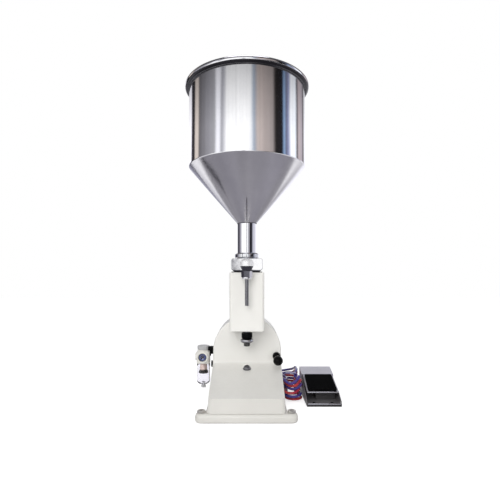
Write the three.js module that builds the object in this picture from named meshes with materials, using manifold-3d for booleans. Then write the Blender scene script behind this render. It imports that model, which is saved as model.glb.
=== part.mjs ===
// A bench-top pneumatic filling machine: a steel hopper over a metering head on a cast body, with an
// air regulator on its flank and a foot pedal on two hoses.
// Millimetres, +Z up, +X to the viewer's right, +Y to the rear, origin on the floor under the hopper's axis.

import * as THREE from "three";
import { mergeVertices } from "three/addons/utils/BufferGeometryUtils.js";
import Module from "manifold-3d";

const wasm = await Module();
wasm.setup();

// Fits that every piece shares
const seatGap = 0.3;
const runningGap = 0.4;
const looseGap = 1;
const rimEdge = 1;
const gripEdge = 1.2;
const cutOver = 2;
const weldReach = 0.0001;
const smallSides = 14;
const roundSides = 26;
const hopperSides = 52;
const archArcs = 18;
const eyeArcs = 5;

// Base plate
const baseThickness = 18;
const baseEdge = 2;
const footBarDepth = 30;
const footBarY = -123;
const rearLipY = 140;
const baseBoltSize = 10;
const baseBoltHead = 16;
const baseBoltHeadHeight = 4;

// Body casting: a round-topped column, a sloping apron in front of it and a spine that carries the head
const castWall = 5;
const castEdge = 4;
const columnHalfWidth = 79;
const columnDraft = 1.5;
const columnFootHalfWidth = columnHalfWidth + columnDraft;
const footBarReach = 21;
const footBarWidth = 2 * (columnHalfWidth + footBarReach);
const rearLipInset = 4;
const rearLipWidth = 2 * (columnHalfWidth - rearLipInset);
const baseBoltReach = 9;
const baseBoltX = columnHalfWidth + baseBoltReach;
const columnFrontY = 24;
const columnRearY = 115;
const archCentreZ = 110;
const apronFrontY = -132;
const apronFrontInset = 4.5;
const apronFrontHalfWidth = columnHalfWidth - apronFrontInset;
const apronRearZ = 81;
const apronFrontZ = 46.6;
const skirtFrontY = -134;
const skirtInset = 2.6;
const skirtHalfWidth = columnHalfWidth - skirtInset;
const planCorner = 9;
const spineHalfWidth = 30;
const spineRearY = 58;
const spineTopGap = 0.8;
const apronBoltY = -6;
const apronBoltHead = 18;
const apronBoltHeight = 9;
const apronBoltShank = 9;

// Rear panel and its hose ports
const panelThickness = 3;
const panelInset = 6;
const panelLowZ = 22;
const manifoldWidth = 50;
const manifoldDepth = 14;
const manifoldHeight = 22;
const manifoldX = 21;
const machinePortSpacing = 24;
const machinePortZ = 36;
const portCollar = 12;
const portCollarLength = 10;

// Hoses
const hoseSize = 6;
const hoseSides = 8;
const hankSides = 6;
const hankStepsPerLoop = 24;
const hankPasses = 3;
const hankReach = 25;
const hankX = columnHalfWidth + hankReach;
const hankY = 52;
const hankFoldRadius = 18;
const hankHalfRun = 37;
const hankWaistPinch = 8;
const hankPitch = 6.8;
const hankLowZ = 4.8;
const tieWidth = 8;
const tieThickness = 1.4;
const tieSlack = 1.6;
const tieSideSlack = 0.8;

// Head: cover, bracket, metering cylinder, air cylinder and stroke adjuster
const headHalfWidth = 38;
const headFrontY = -38;
const headRearY = 62;
const headLowZ = 162.6;
const headTopZ = 290.8;
const headWall = 2.5;
const headCorner = 7;
const backPlateThickness = 2.5;
const meterAxisY = -8;
const bracketThickness = 7;
const bracketHalfWidth = 28;
const shelfThickness = 6;
const meterBore = 40;
const meterOuter = 46;
const strokeLength = 40;
const meterPistonHeight = 10;
const meterGroove = 3;
const airBore = 42;
const airOuter = 47;
const airCapHeight = 7;
const airPistonHeight = 8;
const rodSize = 10;
const screwSize = 12;
const screwStickOut = 12;
const knobSize = 24;
const knobHeight = 12.8;
const knobGap = 5.6;
const knobFlutes = 12;
const knobFluteSize = 1.7;
const knobFluteDepth = 0.3;
const lockRingSize = 29.8;
const lockRingHeight = 10;
const endNutSize = 14;
const endNutHeight = 8.6;

// Valve block, spool and nozzle
const blockWidth = 69;
const blockFrontY = -30;
const blockRearY = 41;
const blockHeadGap = 2;
const blockHeight = 28.7;
const blockLowZ = headTopZ + blockHeadGap;
const blockTopZ = blockLowZ + blockHeight;
const spineTopZ = blockLowZ - spineTopGap;
const blockChamfer = 6;
const spoolRise = 11.2;
const spoolAxisZ = blockLowZ + spoolRise;
const spoolBore = 15;
const spoolLandSize = 14.4;
const spoolWaist = 8;
const spoolFrontY = -22;
const frontLandLength = 10;
const rearLandY = 12;
const rearLandLength = 6;
const spoolTravel = 21;
const meterPortSize = 12;
const hopperPortLength = 8;
const hopperPortWidth = 20;
const spoolPistonLength = 6;
const spoolCylinderOuter = 21;
const spoolCylinderBore = 16;
const spoolCylinderCap = 5;
const nozzleY = -55;
const nozzleBossSize = 20;
const nozzleBodySize = 28;
const nozzleBodyRise = 9;
const nozzleBodyTopZ = spoolAxisZ + nozzleBodyRise;
const nozzleNeckSize = 20;
const nozzleNeckDrop = 10;
const nozzleNeckLowZ = spoolAxisZ - nozzleNeckDrop;
const nozzleNutSize = 20.4;
const nozzleNutHeight = 17.6;
const nozzleTubeSize = 8;
const nozzleTubeWall = 1;
const nozzleTubeLength = 74;
const nozzleTipZ = nozzleNeckLowZ - nozzleTubeLength;

// Hopper and its clamp
const hopperRadius = 130;
const hopperWall = 1.5;
const neckHeight = 72;
const coneHeight = 124;
const drumHeight = 170.5;
const neckRadius = 21.2;
const rimRadius = 6.5;
const rimSteps = 9;
const rimStand = 1.5;
const ferruleFlange = 50;
const ferruleFlangeHeight = 2.8;
const ferruleFoot = 2.4;
const gasketHeight = 1.4;
const clampOuter = 54;
const clampLip = 2.2;
const hopperLowZ = blockTopZ + ferruleFoot + ferruleFlangeHeight + gasketHeight + 3 * seatGap;
const coneLowZ = hopperLowZ + neckHeight;
const coneTopZ = coneLowZ + coneHeight;
const hopperTopZ = coneTopZ + drumHeight;

// Push-pull air switch on the column's front
const switchInset = 11;
const switchX = columnHalfWidth - switchInset;
const switchZ = 98;
const switchCollarSize = 18;
const switchCollarLength = 8;
const switchNeckSize = 9;
const switchBodySize = 11.4;
const switchBodyLength = 40;
const switchStemSize = 5.2;
const switchBallSize = 21.4;
const switchBallY = -30;
const switchTravel = 8;

// Air regulator with gauge, filter bowl and drain, on the column's left flank
const regulatorY = 50;
const regulatorHalfWidth = 15.5;
const regulatorFlankGap = 9.5;
const regulatorX = -(columnHalfWidth + regulatorFlankGap + regulatorHalfWidth);
const regulatorLowZ = 76.4;
const regulatorTopZ = 108;
const capSize = 29;
const capLowZ = 108.6;
const capTopZ = 117.5;
const capRibs = 16;
const capRibDepthShare = 0.05;
const gaugeSize = 26;
const gaugeZ = 93;
const gaugeDepth = 9;
const gaugeRim = 2;
const gaugeLensThickness = 1;
const needleWidth = 1.2;
const needleThickness = 0.5;
const needleRestTurn = -135;
const bowlSize = 30.8;
const bowlWall = 1.8;
const bowlTopZ = 75.8;
const bowlLowZ = 27;
const bowlNose = 3;
const bowlTaperShare = 0.6;
const filterSize = 17.4;
const filterLowZ = 60.6;
const filterBore = 6;
const baffleSize = 22.6;
const baffleThickness = 5;
const baffleRibs = 12;
const drainSize = 11;
const drainLowZ = 18;
const drainStemSize = 9.2;
const drainTravel = 3;
const elbowZ = 107;
const elbowSize = 17;
const elbowThread = 12;
const plugX = 3;
const plugZ = 74;
const plugSize = 14;

// Foot pedal, in its own frame: middle of its front edge on the floor
const pedalReach = 89;
const pedalX = columnHalfWidth + pedalReach;
const pedalFrontY = -38;
const pedalLength = 133;
const pedalWidth = 76;
const pedalWall = 2;
const pedalCorner = 2;
const trayFloor = 3;
const trayWallHeight = 8;
const trayLipHeight = 6;
const trayHoleSize = 7;
const trayHoleInset = 18;
const trayHoleX = pedalWidth / 2 - trayHoleInset;
const trayHoleY = 19;
const hoodFrontY = 91;
const hoodFrontZ = 48;
const hoodRearZ = 57;
const treadleFrontY = 18;
const treadleFrontZ = 27;
const treadleRearY = 88;
const treadleRearZ = 47.2;
const treadleSideGap = 1;
const treadleWidth = pedalWidth - 2 * (pedalWall + treadleSideGap);
const treadlePlate = 2.5;
const treadleFlange = 7;
const padSideMargin = 3;
const padWidth = treadleWidth - 2 * padSideMargin;
const padThickness = 3;
const padFrontMargin = 8;
const padRibs = 6;
const padRibDepth = 0.8;
const hingeY = 100;
const hingeZ = 39;
const hingePinSize = 6;
const hingeBarrel = 10;
const hingeLug = 11;
const hingeLugThickness = 3;
const hingeArmInset = 2.7;
const hingeArmHalfWidth = treadleWidth / 2 - hingeArmInset;
const pedalValveMargin = 4.5;
const pedalValveReach = 12.5;
const pedalValveRight = pedalWidth / 2 - pedalWall - pedalValveMargin;
const pedalValveWidth = pedalValveRight + pedalValveReach;
const pedalValveX = pedalValveRight - pedalValveWidth / 2;
const pedalValveLength = 34;
const pedalValveY = 59;
const pedalValveHeight = 16;
const pedalValveFloor = 2;
const plungerSize = 8;
const plungerLength = 18;
const plungerY = 53;
const plungerTopZ = 33.9;
const plungerDomeShares = [[1, 1], [0.92, 0.69], [0.7, 0.38], [0.38, 0.07]];
const pedalPortZ = 14;
const pedalPortInset = 10;
const pedalPortSpacing = 16;
const pedalPortXs = [pedalWidth / 2 - pedalPortInset - pedalPortSpacing, pedalWidth / 2 - pedalPortInset];

// Hose routes, chosen by hand: each runs from a port to a hank's end
const redPedalRoute = [
  [180, 107.3, 14], [180, 110.5, 14], [180, 115, 13.4], [176.8, 126, 11], [168, 134.8, 8],
  [156, 138, 5.8], [145.5, 135.4, 4.9], [138, 129.5, 4.8], [133, 121.5, 4.8], [127.3, 113.6, 4.8],
  [120, 108.8, 4.8], [114.6, 107.2, 4.8], [110.3, 107, 4.8],
];
const bluePedalRoute = [
  [196, 107.3, 14], [196, 110.5, 14], [195.8, 116, 13.8], [192, 129, 13], [181.5, 139.6, 12],
  [166.5, 143.5, 11.6], [153, 140, 11.7], [144, 132, 11.9], [138, 122.8, 11.8], [131.5, 114.6, 11.7],
  [123.5, 109.3, 11.6], [115.5, 107.2, 11.6], [110.3, 107, 11.6],
];
const redMachineRoute = [
  [122, 95.3, 45.6], [122, 98.5, 45.6], [122, 108, 44.6], [121.9, 122, 40.5], [121, 138, 34],
  [118, 154, 28], [111.5, 170, 22], [101, 182.5, 17.5], [87, 190.5, 15], [72, 191, 15],
  [57.5, 185.5, 18], [45, 175, 23], [37, 164, 28.5], [33.6, 154, 33.5], [33, 147, 35.8], [33, 142.9, 36],
];
const blueMachineRoute = [
  [122, 95.3, 52.4], [122, 98.5, 52.4], [122.1, 110, 51.6], [122.5, 126, 48], [122.5, 142, 42.5],
  [120.5, 158, 37], [115.5, 173, 31.5], [107, 187, 26.5], [95, 198, 22], [80, 204.5, 18.5],
  [64, 206, 16.5], [48, 202.5, 17], [33, 194, 19.5], [20.5, 181.5, 24], [12.5, 168, 29.5],
  [9.6, 156, 34], [9, 148, 35.8], [9, 142.9, 36],
];
const routeSteps = 24;

// Finishes
const finish = (color, roughness, metalness) =>
  new THREE.MeshStandardMaterial({ color, roughness, metalness });
const creamPaint = finish(0xe8e7e2, 0.45, 0.1);
const polishedSteel = finish(0xc9ccd1, 0.12, 1);
const dullSteel = finish(0x8f9094, 0.35, 1);
const blackPlastic = finish(0x151516, 0.45, 0);
const blackRubber = finish(0x0b0b0d, 0.8, 0);
const sealRubber = finish(0xd9d6cc, 0.6, 0);
const greyPlastic = finish(0x9a9ca0, 0.5, 0);
const offWhitePlastic = finish(0xd8dad6, 0.4, 0);
const clearPlastic = finish(0xcfc6e6, 0.08, 0);
const bronzeFilter = finish(0x8a5a3a, 0.7, 0.2);
const pedalMetal = finish(0xb4b3bb, 0.4, 0.6);
const redHose = finish(0xc4402e, 0.3, 0);
const blueHose = finish(0x2b3f94, 0.3, 0);

// A geometry with only its positions, shared vertices merged and flat triangles dropped
function bare(geometry) {
  for (const name of Object.keys(geometry.attributes))
    if (name !== "position") geometry.deleteAttribute(name);
  const merged = mergeVertices(geometry, weldReach);
  const corners = merged.index.array;
  const kept = [];
  for (let i = 0; i < corners.length; i += 3) {
    const [a, b, c] = corners.slice(i, i + 3);
    if (a !== b && b !== c && c !== a) kept.push(a, b, c);
  }
  merged.setIndex(kept);
  return merged;
}

function solidOf(geometry) {
  const plain = bare(geometry.clone());
  const triVerts = Uint32Array.from(plain.index.array);
  const vertProperties = plain.attributes.position.array;
  return new wasm.Manifold(new wasm.Mesh({ numProp: 3, vertProperties, triVerts }));
}

function geometryOf(solid) {
  const mesh = solid.getMesh();
  const geometry = new THREE.BufferGeometry();
  geometry.setAttribute("position", new THREE.Float32BufferAttribute(mesh.vertProperties, 3));
  geometry.setIndex(Array.from(mesh.triVerts));
  return geometry;
}

const joined = (...pieces) =>
  geometryOf(pieces.map(solidOf).reduce((whole, piece) => whole.add(piece)));
const cut = (piece, ...tools) =>
  geometryOf(tools.map(solidOf).reduce((rest, tool) => rest.subtract(tool), solidOf(piece)));

// A profile of [radius, height] pairs turned about Z; it closes on itself or on the axis
function revolved(profile, sides = roundSides) {
  const points = profile.map(([radius, height]) => new THREE.Vector2(radius, height));
  if (profile[0][0] > 0) points.push(points[0].clone());
  return new THREE.LatheGeometry(points, sides).rotateX(Math.PI / 2);
}

const drum = (radius, low, high, sides = roundSides) =>
  revolved([[0, low], [radius, low], [radius, high], [0, high]], sides);
const tube = (outer, inner, low, high, sides = roundSides) =>
  revolved([[inner, low], [outer, low], [outer, high], [inner, high]], sides);

// A drum whose rims are rounded off by a chamfer
function softDrum(radius, low, high, edge, sides = roundSides) {
  const profile = [
    [0, low], [radius - edge, low], [radius, low + edge], [radius, high - edge], [radius - edge, high], [0, high],
  ];
  return revolved(profile, sides);
}

const block = ([width, depth, height], [x, y, low]) =>
  new THREE.BoxGeometry(width, depth, height).translate(x, y, low + height / 2);

// An outline raised along Z from low to high, its rims taken off by edge
function raised(shape, low, high, edge = 0, curveSegments = 3) {
  const depth = high - low - 2 * edge;
  const bevel = { bevelEnabled: edge > 0, bevelThickness: edge, bevelSize: edge, bevelOffset: -edge, bevelSegments: 2 };
  return new THREE.ExtrudeGeometry(shape, { depth, curveSegments, ...bevel }).translate(0, 0, low + edge);
}

// Turns what was made along Z to lie along +Y or +X
const alongY = (geometry) => geometry.rotateX(-Math.PI / 2);
const alongX = (geometry) => geometry.rotateY(Math.PI / 2);
// Stands an outline drawn in X and Z up, its thickness running along +Y
const uprightY = (geometry) => geometry.rotateX(Math.PI / 2).scale(1, -1, 1);

function rectangle(width, depth, radius, x = 0, y = 0) {
  const shape = new THREE.Shape();
  const [right, top] = [x + width / 2, y + depth / 2];
  const [left, bottom] = [x - width / 2, y - depth / 2];
  shape.absarc(right - radius, bottom + radius, radius, -Math.PI / 2, 0);
  shape.absarc(right - radius, top - radius, radius, 0, Math.PI / 2);
  shape.absarc(left + radius, top - radius, radius, Math.PI / 2, Math.PI);
  shape.absarc(left + radius, bottom + radius, radius, Math.PI, (3 * Math.PI) / 2);
  return shape;
}

function hexagon(acrossFlats) {
  const shape = new THREE.Shape();
  const corner = acrossFlats / 2 / Math.cos(Math.PI / 6);
  for (let i = 0; i < 6; i++) {
    const angle = (i * Math.PI) / 3;
    shape.lineTo(corner * Math.cos(angle), corner * Math.sin(angle));
  }
  return shape;
}

// Faces front and back swapped, for a shape that a mirroring scale has turned inside out
function flipped(geometry) {
  const plain = bare(geometry);
  const corners = Array.from(plain.index.array);
  for (let i = 0; i < corners.length; i += 3)
    [corners[i + 1], corners[i + 2]] = [corners[i + 2], corners[i + 1]];
  plain.setIndex(corners);
  return plain;
}
const standing = (shape, near, far, edge = 0, curveSegments = 3) =>
  flipped(uprightY(raised(shape, near, far, edge, curveSegments)));

// Rings of equally many [x, y, z] points, stitched into one closed skin
function lofted(rings) {
  const count = rings[0].length;
  const positions = rings.flat(2);
  const index = [];
  for (let ring = 0; ring + 1 < rings.length; ring++)
    for (let i = 0; i < count; i++) {
      const [a, b] = [ring * count + i, ring * count + ((i + 1) % count)];
      index.push(a, b, b + count, a, b + count, a + count);
    }
  const last = (rings.length - 1) * count;
  const plan = (ring) => ring.map(([x, y]) => new THREE.Vector2(x, y));
  for (const [a, b, c] of THREE.ShapeUtils.triangulateShape(plan(rings[0]), [])) index.push(a, c, b);
  for (const [a, b, c] of THREE.ShapeUtils.triangulateShape(plan(rings[rings.length - 1]), []))
    index.push(last + a, last + b, last + c);
  const geometry = new THREE.BufferGeometry();
  geometry.setAttribute("position", new THREE.Float32BufferAttribute(positions, 3));
  geometry.setIndex(index);
  return geometry;
}

function piece(name, geometry, material, parent, position = [0, 0, 0]) {
  const mesh = new THREE.Mesh(geometry, material);
  mesh.name = name;
  mesh.position.set(...position);
  parent.add(mesh);
  return mesh;
}

const machine = new THREE.Group();

// Body casting

// Plan of the skirt: tapered from the column to the front, with round front corners
function skirtPlan(frontY, frontHalfWidth, rearHalfWidth, rearY, inset) {
  const corner = planCorner - Math.min(inset, planCorner / 2);
  const [front, rear] = [frontY + inset, rearY];
  const [narrow, wide] = [frontHalfWidth - inset, rearHalfWidth - inset];
  const steps = 4;
  const ring = [];
  for (let i = 0; i <= steps; i++) {
    const angle = -Math.PI / 2 + (i * Math.PI) / 2 / steps;
    ring.push([narrow - corner + corner * Math.cos(angle), front + corner + corner * Math.sin(angle)]);
  }
  ring.push([wide, rear], [-wide, rear]);
  for (let i = 0; i <= steps; i++) {
    const angle = Math.PI + (i * Math.PI) / 2 / steps;
    ring.push([-narrow + corner + corner * Math.cos(angle), front + corner + corner * Math.sin(angle)]);
  }
  return ring;
}

const apronSlope = (apronRearZ - apronFrontZ) / (columnFrontY - apronFrontY);
const apronTilt = Math.atan(apronSlope);
const apronBoltReach = castWall + 2 * cutOver;
const apronHeightAt = (y) => apronFrontZ + (y - apronFrontY) * apronSlope;

// The apron and skirt as a loft from the floor plate to the sloping top
function apronForm(inset, low, rearY) {
  const foot = skirtPlan(skirtFrontY, skirtHalfWidth, columnFootHalfWidth, rearY, inset);
  const brow = skirtPlan(apronFrontY, apronFrontHalfWidth, columnHalfWidth, rearY, inset);
  const footRing = foot.map(([x, y]) => [x, y, low]);
  const browRing = brow.map(([x, y]) => [x, y, apronHeightAt(y) - inset]);
  return lofted([footRing, browRing]);
}

// The column's front outline: upright flanks under a half circle
function archOutline(inset, low) {
  const shape = new THREE.Shape();
  shape.moveTo(-columnFootHalfWidth + inset, low);
  shape.lineTo(columnFootHalfWidth - inset, low);
  shape.absarc(0, archCentreZ, columnHalfWidth - inset, 0, Math.PI);
  return shape;
}

const switchAxis = [switchX, 0, switchZ];
const flankHole = (size, y, z) =>
  alongX(drum(size / 2, -columnHalfWidth - cutOver * 2, -columnHalfWidth + castWall + cutOver, smallSides))
    .translate(0, y, z);

function bodyCasting() {
  const bodyLowZ = baseThickness + seatGap;
  const column = standing(archOutline(0, bodyLowZ), columnFrontY, columnRearY, castEdge, archArcs);
  const apron = apronForm(0, bodyLowZ, columnFrontY + castWall);
  const spineHeight = spineTopZ - archCentreZ;
  const spineDepth = spineRearY - columnFrontY;
  const spineY = columnFrontY + spineDepth / 2;
  const spine = block([2 * spineHalfWidth, spineDepth, spineHeight], [0, spineY, archCentreZ]);
  const outer = joined(column, apron, spine);
  const cavityLowZ = bodyLowZ - cutOver;
  const columnCavity = standing(
    archOutline(castWall, cavityLowZ), columnFrontY + castWall, columnRearY + cutOver, 0, archArcs,
  );
  const apronCavity = apronForm(castWall, cavityLowZ, columnFrontY + 2 * castWall);
  const spineInner = 2 * (spineHalfWidth - castWall);
  const spineCavity = block(
    [spineInner, spineDepth, spineHeight - castWall], [0, spineY + castWall, archCentreZ],
  );
  const switchHole = alongY(
    drum((switchNeckSize + runningGap) / 2, columnFrontY - cutOver, columnFrontY + castWall + cutOver, smallSides),
  ).translate(...switchAxis);
  const boltHole = drum(apronBoltShank / 2 + runningGap, -apronBoltReach, apronBoltReach, smallSides)
    .rotateX(apronTilt).translate(0, apronBoltY, apronHeightAt(apronBoltY));
  const airHole = flankHole(elbowThread + runningGap, regulatorY, elbowZ);
  const plugHole = flankHole(plugSize / 2 + runningGap, regulatorY, plugZ);
  return cut(outer, columnCavity, apronCavity, spineCavity, switchHole, boltHole, airHole, plugHole);
}
piece("body_casting", bodyCasting(), creamPaint, machine);

// Base plate with ears for bolts, standing a little proud of the skirt at the front
const baseBolts = [[-baseBoltX, footBarY], [baseBoltX, footBarY]];
function basePlate() {
  const bar = raised(
    rectangle(footBarWidth, footBarDepth, footBarDepth / 2 - baseEdge, 0, footBarY), 0, baseThickness, baseEdge,
  );
  const plan = skirtPlan(skirtFrontY, skirtHalfWidth, columnFootHalfWidth, columnRearY, 0);
  const floorRing = plan.map(([x, y]) => [x, y, 0]);
  const topRing = plan.map(([x, y]) => [x, y, baseThickness]);
  const lipDepth = rearLipY - columnRearY + footBarDepth;
  const lip = raised(
    rectangle(rearLipWidth, lipDepth, planCorner, 0, rearLipY - lipDepth / 2), 0, baseThickness, baseEdge,
  );
  const holes = baseBolts.map(([x, y]) =>
    drum((baseBoltSize + runningGap) / 2, -cutOver, baseThickness + cutOver, smallSides).translate(x, y, 0));
  return cut(joined(bar, lofted([floorRing, topRing]), lip), ...holes);
}
piece("base_plate", basePlate(), creamPaint, machine);

// A cap screw, its head on z = 0 and a socket in the head
function capScrew(headSize, headHeight, shankSize, shankLength) {
  const head = softDrum(headSize / 2, 0, headHeight, headHeight / 6, smallSides);
  const shank = drum(shankSize / 2, -shankLength, headHeight / 2, smallSides);
  const socket = raised(hexagon(headSize / 2), headHeight / 2, headHeight + cutOver);
  return cut(joined(head, shank), socket);
}
["base_bolt_left", "base_bolt_right"].forEach((name, i) => {
  const bolt = capScrew(baseBoltHead, baseBoltHeadHeight, baseBoltSize, baseThickness - baseEdge);
  piece(name, bolt, dullSteel, machine, [...baseBolts[i], baseThickness + seatGap]);
});
const apronBolt = piece(
  "apron_bolt", capScrew(apronBoltHead, apronBoltHeight, apronBoltShank, apronBoltReach), dullSteel, machine,
  [0, apronBoltY, apronHeightAt(apronBoltY) + seatGap / Math.cos(apronTilt)],
);
apronBolt.rotation.x = apronTilt;

// Rear panel and the block of hose ports behind it
const panelNearY = columnRearY + seatGap;
const panelFarY = panelNearY + panelThickness;
const manifoldNearY = panelFarY + seatGap;
const manifoldFarY = manifoldNearY + manifoldDepth;
piece(
  "rear_panel", standing(archOutline(panelInset, panelLowZ), panelNearY, panelFarY, 0, archArcs), creamPaint, machine,
);

// A push-in port: a hexagon, then a collar that the hose fills, its mouth at the far end
function portStub(near, length) {
  const nut = raised(hexagon(portCollar), near - cutOver, near + length / 2);
  const collar = softDrum(portCollar / 2, near, near + length, portCollar / 12, smallSides);
  return joined(nut, collar);
}

function portManifold() {
  const body = block(
    [manifoldWidth, manifoldDepth, manifoldHeight],
    [manifoldX, manifoldNearY + manifoldDepth / 2, machinePortZ - manifoldHeight / 2],
  );
  const portXs = [manifoldX - machinePortSpacing / 2, manifoldX + machinePortSpacing / 2];
  const stubs = portXs.map((x) => alongY(portStub(manifoldFarY, portCollarLength)).translate(x, 0, machinePortZ));
  return joined(body, ...stubs);
}
piece("port_manifold", portManifold(), blackPlastic, machine);

// Head cover: a square tube with round front corners, open at the back, cut to saddle the column
const headDepth = headRearY - headFrontY;
const headY = (headRearY + headFrontY) / 2;
function headCover() {
  const outer = raised(rectangle(2 * headHalfWidth, headDepth, headCorner, 0, headY), headLowZ, headTopZ, rimEdge);
  const inner = block(
    [2 * (headHalfWidth - headWall), headDepth, headTopZ - headLowZ - 2 * headWall],
    [0, headY + headWall, headLowZ + headWall],
  );
  const topDepth = headDepth - (meterAxisY - meterOuter / 2 - headFrontY);
  const topOpening = block(
    [2 * spineHalfWidth + 2 * seatGap, topDepth, headWall + 2 * cutOver],
    [0, meterAxisY - meterOuter / 2 - cutOver + topDepth / 2, headTopZ - headWall - cutOver],
  );
  const screwHole = drum(screwSize / 2 + looseGap, headLowZ - cutOver, headLowZ + headWall + cutOver, smallSides)
    .translate(0, meterAxisY, 0);
  const saddle = standing(
    archOutline(-seatGap, baseThickness), columnFrontY - seatGap, headRearY + cutOver, 0, archArcs,
  );
  return cut(outer, inner, topOpening, screwHole, saddle);
}
piece("head_cover", headCover(), creamPaint, machine);

function headBackPlate() {
  const plate = block(
    [2 * headHalfWidth, backPlateThickness, headTopZ - archCentreZ],
    [0, headRearY + seatGap + backPlateThickness / 2, archCentreZ],
  );
  const saddle = standing(
    archOutline(-seatGap, baseThickness), headRearY - cutOver, headRearY + backPlateThickness + 2 * cutOver,
    0, archArcs,
  );
  return cut(plate, saddle);
}
piece("head_back_plate", headBackPlate(), creamPaint, machine);

// Bracket bolted to the column: an upright plate with the shelf that carries the air cylinder
const bracketFarY = columnFrontY - seatGap;
const bracketLowZ = headLowZ + headWall + seatGap;
const shelfTopZ = bracketLowZ + shelfThickness;
function headBracket() {
  const plate = block(
    [2 * bracketHalfWidth, bracketThickness, spineTopZ - bracketLowZ],
    [0, bracketFarY - bracketThickness / 2, bracketLowZ],
  );
  const shelfFrontY = headFrontY + headWall + runningGap;
  const shelfDepth = bracketFarY - shelfFrontY;
  const shelf = block(
    [2 * bracketHalfWidth, shelfDepth, shelfThickness], [0, shelfFrontY + shelfDepth / 2, bracketLowZ],
  );
  const bore = drum(screwSize / 2 + runningGap, bracketLowZ - cutOver, shelfTopZ + cutOver, smallSides)
    .translate(0, meterAxisY, 0);
  return cut(joined(plate, shelf), bore);
}
piece("head_bracket", headBracket(), dullSteel, machine);

// Everything on the metering axis stands in one group
const meter = new THREE.Group();
meter.position.set(0, meterAxisY, 0);
machine.add(meter);

const airLowZ = shelfTopZ + seatGap;
const airFloorZ = airLowZ + airCapHeight;
const airCeilingZ = airFloorZ + airPistonHeight + strokeLength + 2 * seatGap;
const airTopZ = airCeilingZ + airCapHeight;
function airCylinder() {
  const barrel = softDrum(airOuter / 2, airLowZ, airTopZ, rimEdge);
  const bore = drum(airBore / 2, airFloorZ, airCeilingZ);
  const screwBore = drum(screwSize / 2 + runningGap, airLowZ - cutOver, airFloorZ + cutOver, smallSides);
  const rodBore = drum(rodSize / 2 + runningGap, airCeilingZ - cutOver, airTopZ + cutOver, smallSides);
  return cut(barrel, bore, screwBore, rodBore);
}
piece("air_cylinder", airCylinder(), dullSteel, meter);

const airPistonLowZ = airFloorZ + seatGap;
const airPistonTopZ = airPistonLowZ + airPistonHeight;
piece(
  "air_piston", softDrum(airBore / 2 - runningGap, airPistonLowZ, airPistonTopZ, rimEdge), dullSteel, meter,
);

const meterLowZ = airTopZ + seatGap;
const meterTopZ = blockLowZ - seatGap;
const meterPistonLowZ = meterTopZ - strokeLength - meterPistonHeight - looseGap;
const meterPistonTopZ = meterPistonLowZ + meterPistonHeight;
piece("metering_cylinder", tube(meterOuter / 2, meterBore / 2, meterLowZ, meterTopZ), polishedSteel, meter);

const pistonRadius = meterBore / 2 - runningGap;
const grooveRadius = pistonRadius - meterGroove / 2;
const grooveLowZ = meterPistonLowZ + (meterPistonHeight - meterGroove) / 2;
function meterPiston() {
  return revolved([
    [0, meterPistonLowZ], [pistonRadius, meterPistonLowZ], [pistonRadius, grooveLowZ],
    [grooveRadius, grooveLowZ], [grooveRadius, grooveLowZ + meterGroove],
    [pistonRadius, grooveLowZ + meterGroove], [pistonRadius, meterPistonTopZ], [0, meterPistonTopZ],
  ]);
}
piece("metering_piston", meterPiston(), polishedSteel, meter);
piece(
  "piston_seal",
  tube(
    pistonRadius + seatGap / 2, grooveRadius + seatGap, grooveLowZ + seatGap, grooveLowZ + meterGroove - seatGap,
  ),
  sealRubber, meter,
);
piece(
  "piston_rod", drum(rodSize / 2, airPistonTopZ + seatGap, meterPistonLowZ - seatGap, smallSides), polishedSteel, meter,
);

// Stroke adjuster under the head: screw, grip, lock ring and end nut
const knobTopZ = headLowZ - knobGap;
const knobLowZ = knobTopZ - knobHeight;
const lockRingLowZ = knobLowZ - seatGap - lockRingHeight;
const endNutLowZ = lockRingLowZ - seatGap - endNutHeight;
const screwTopZ = airLowZ + screwStickOut / 2;
piece("adjust_screw", softDrum(screwSize / 2, endNutLowZ + rimEdge, screwTopZ, rimEdge, smallSides), dullSteel, meter);

function adjustKnob() {
  const grip = softDrum(knobSize / 2, knobLowZ, knobTopZ, gripEdge);
  const flutes = [];
  for (let i = 0; i < knobFlutes; i++) {
    const angle = (i * 2 * Math.PI) / knobFlutes;
    const reach = (knobSize + knobFluteSize) / 2;
    flutes.push(
      drum(knobFluteSize / 2 + knobFluteDepth, knobLowZ - cutOver, knobTopZ + cutOver, 8)
        .translate(reach * Math.cos(angle), reach * Math.sin(angle), 0),
    );
  }
  const bore = drum(screwSize / 2 + seatGap, knobLowZ - cutOver, knobTopZ + cutOver, smallSides);
  return cut(grip, bore, ...flutes);
}
piece("adjust_knob", adjustKnob(), blackPlastic, meter);

function lockRing() {
  const [inner, outer] = [screwSize / 2 + seatGap, lockRingSize / 2];
  const edge = lockRingHeight / 4;
  const top = knobLowZ - seatGap;
  return revolved([
    [inner, lockRingLowZ], [outer - 2 * edge, lockRingLowZ], [outer - edge / 3, lockRingLowZ + edge],
    [outer, lockRingLowZ + 2 * edge], [outer - edge / 3, top - edge], [outer - 2 * edge, top], [inner, top],
  ]);
}
piece("lock_ring", lockRing(), polishedSteel, meter);
piece(
  "end_nut",
  cut(
    raised(hexagon(endNutSize), endNutLowZ, endNutLowZ + endNutHeight),
    drum(screwSize / 2 + seatGap, endNutLowZ - cutOver, endNutLowZ + endNutHeight + cutOver, smallSides),
  ),
  dullSteel, meter,
);

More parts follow.
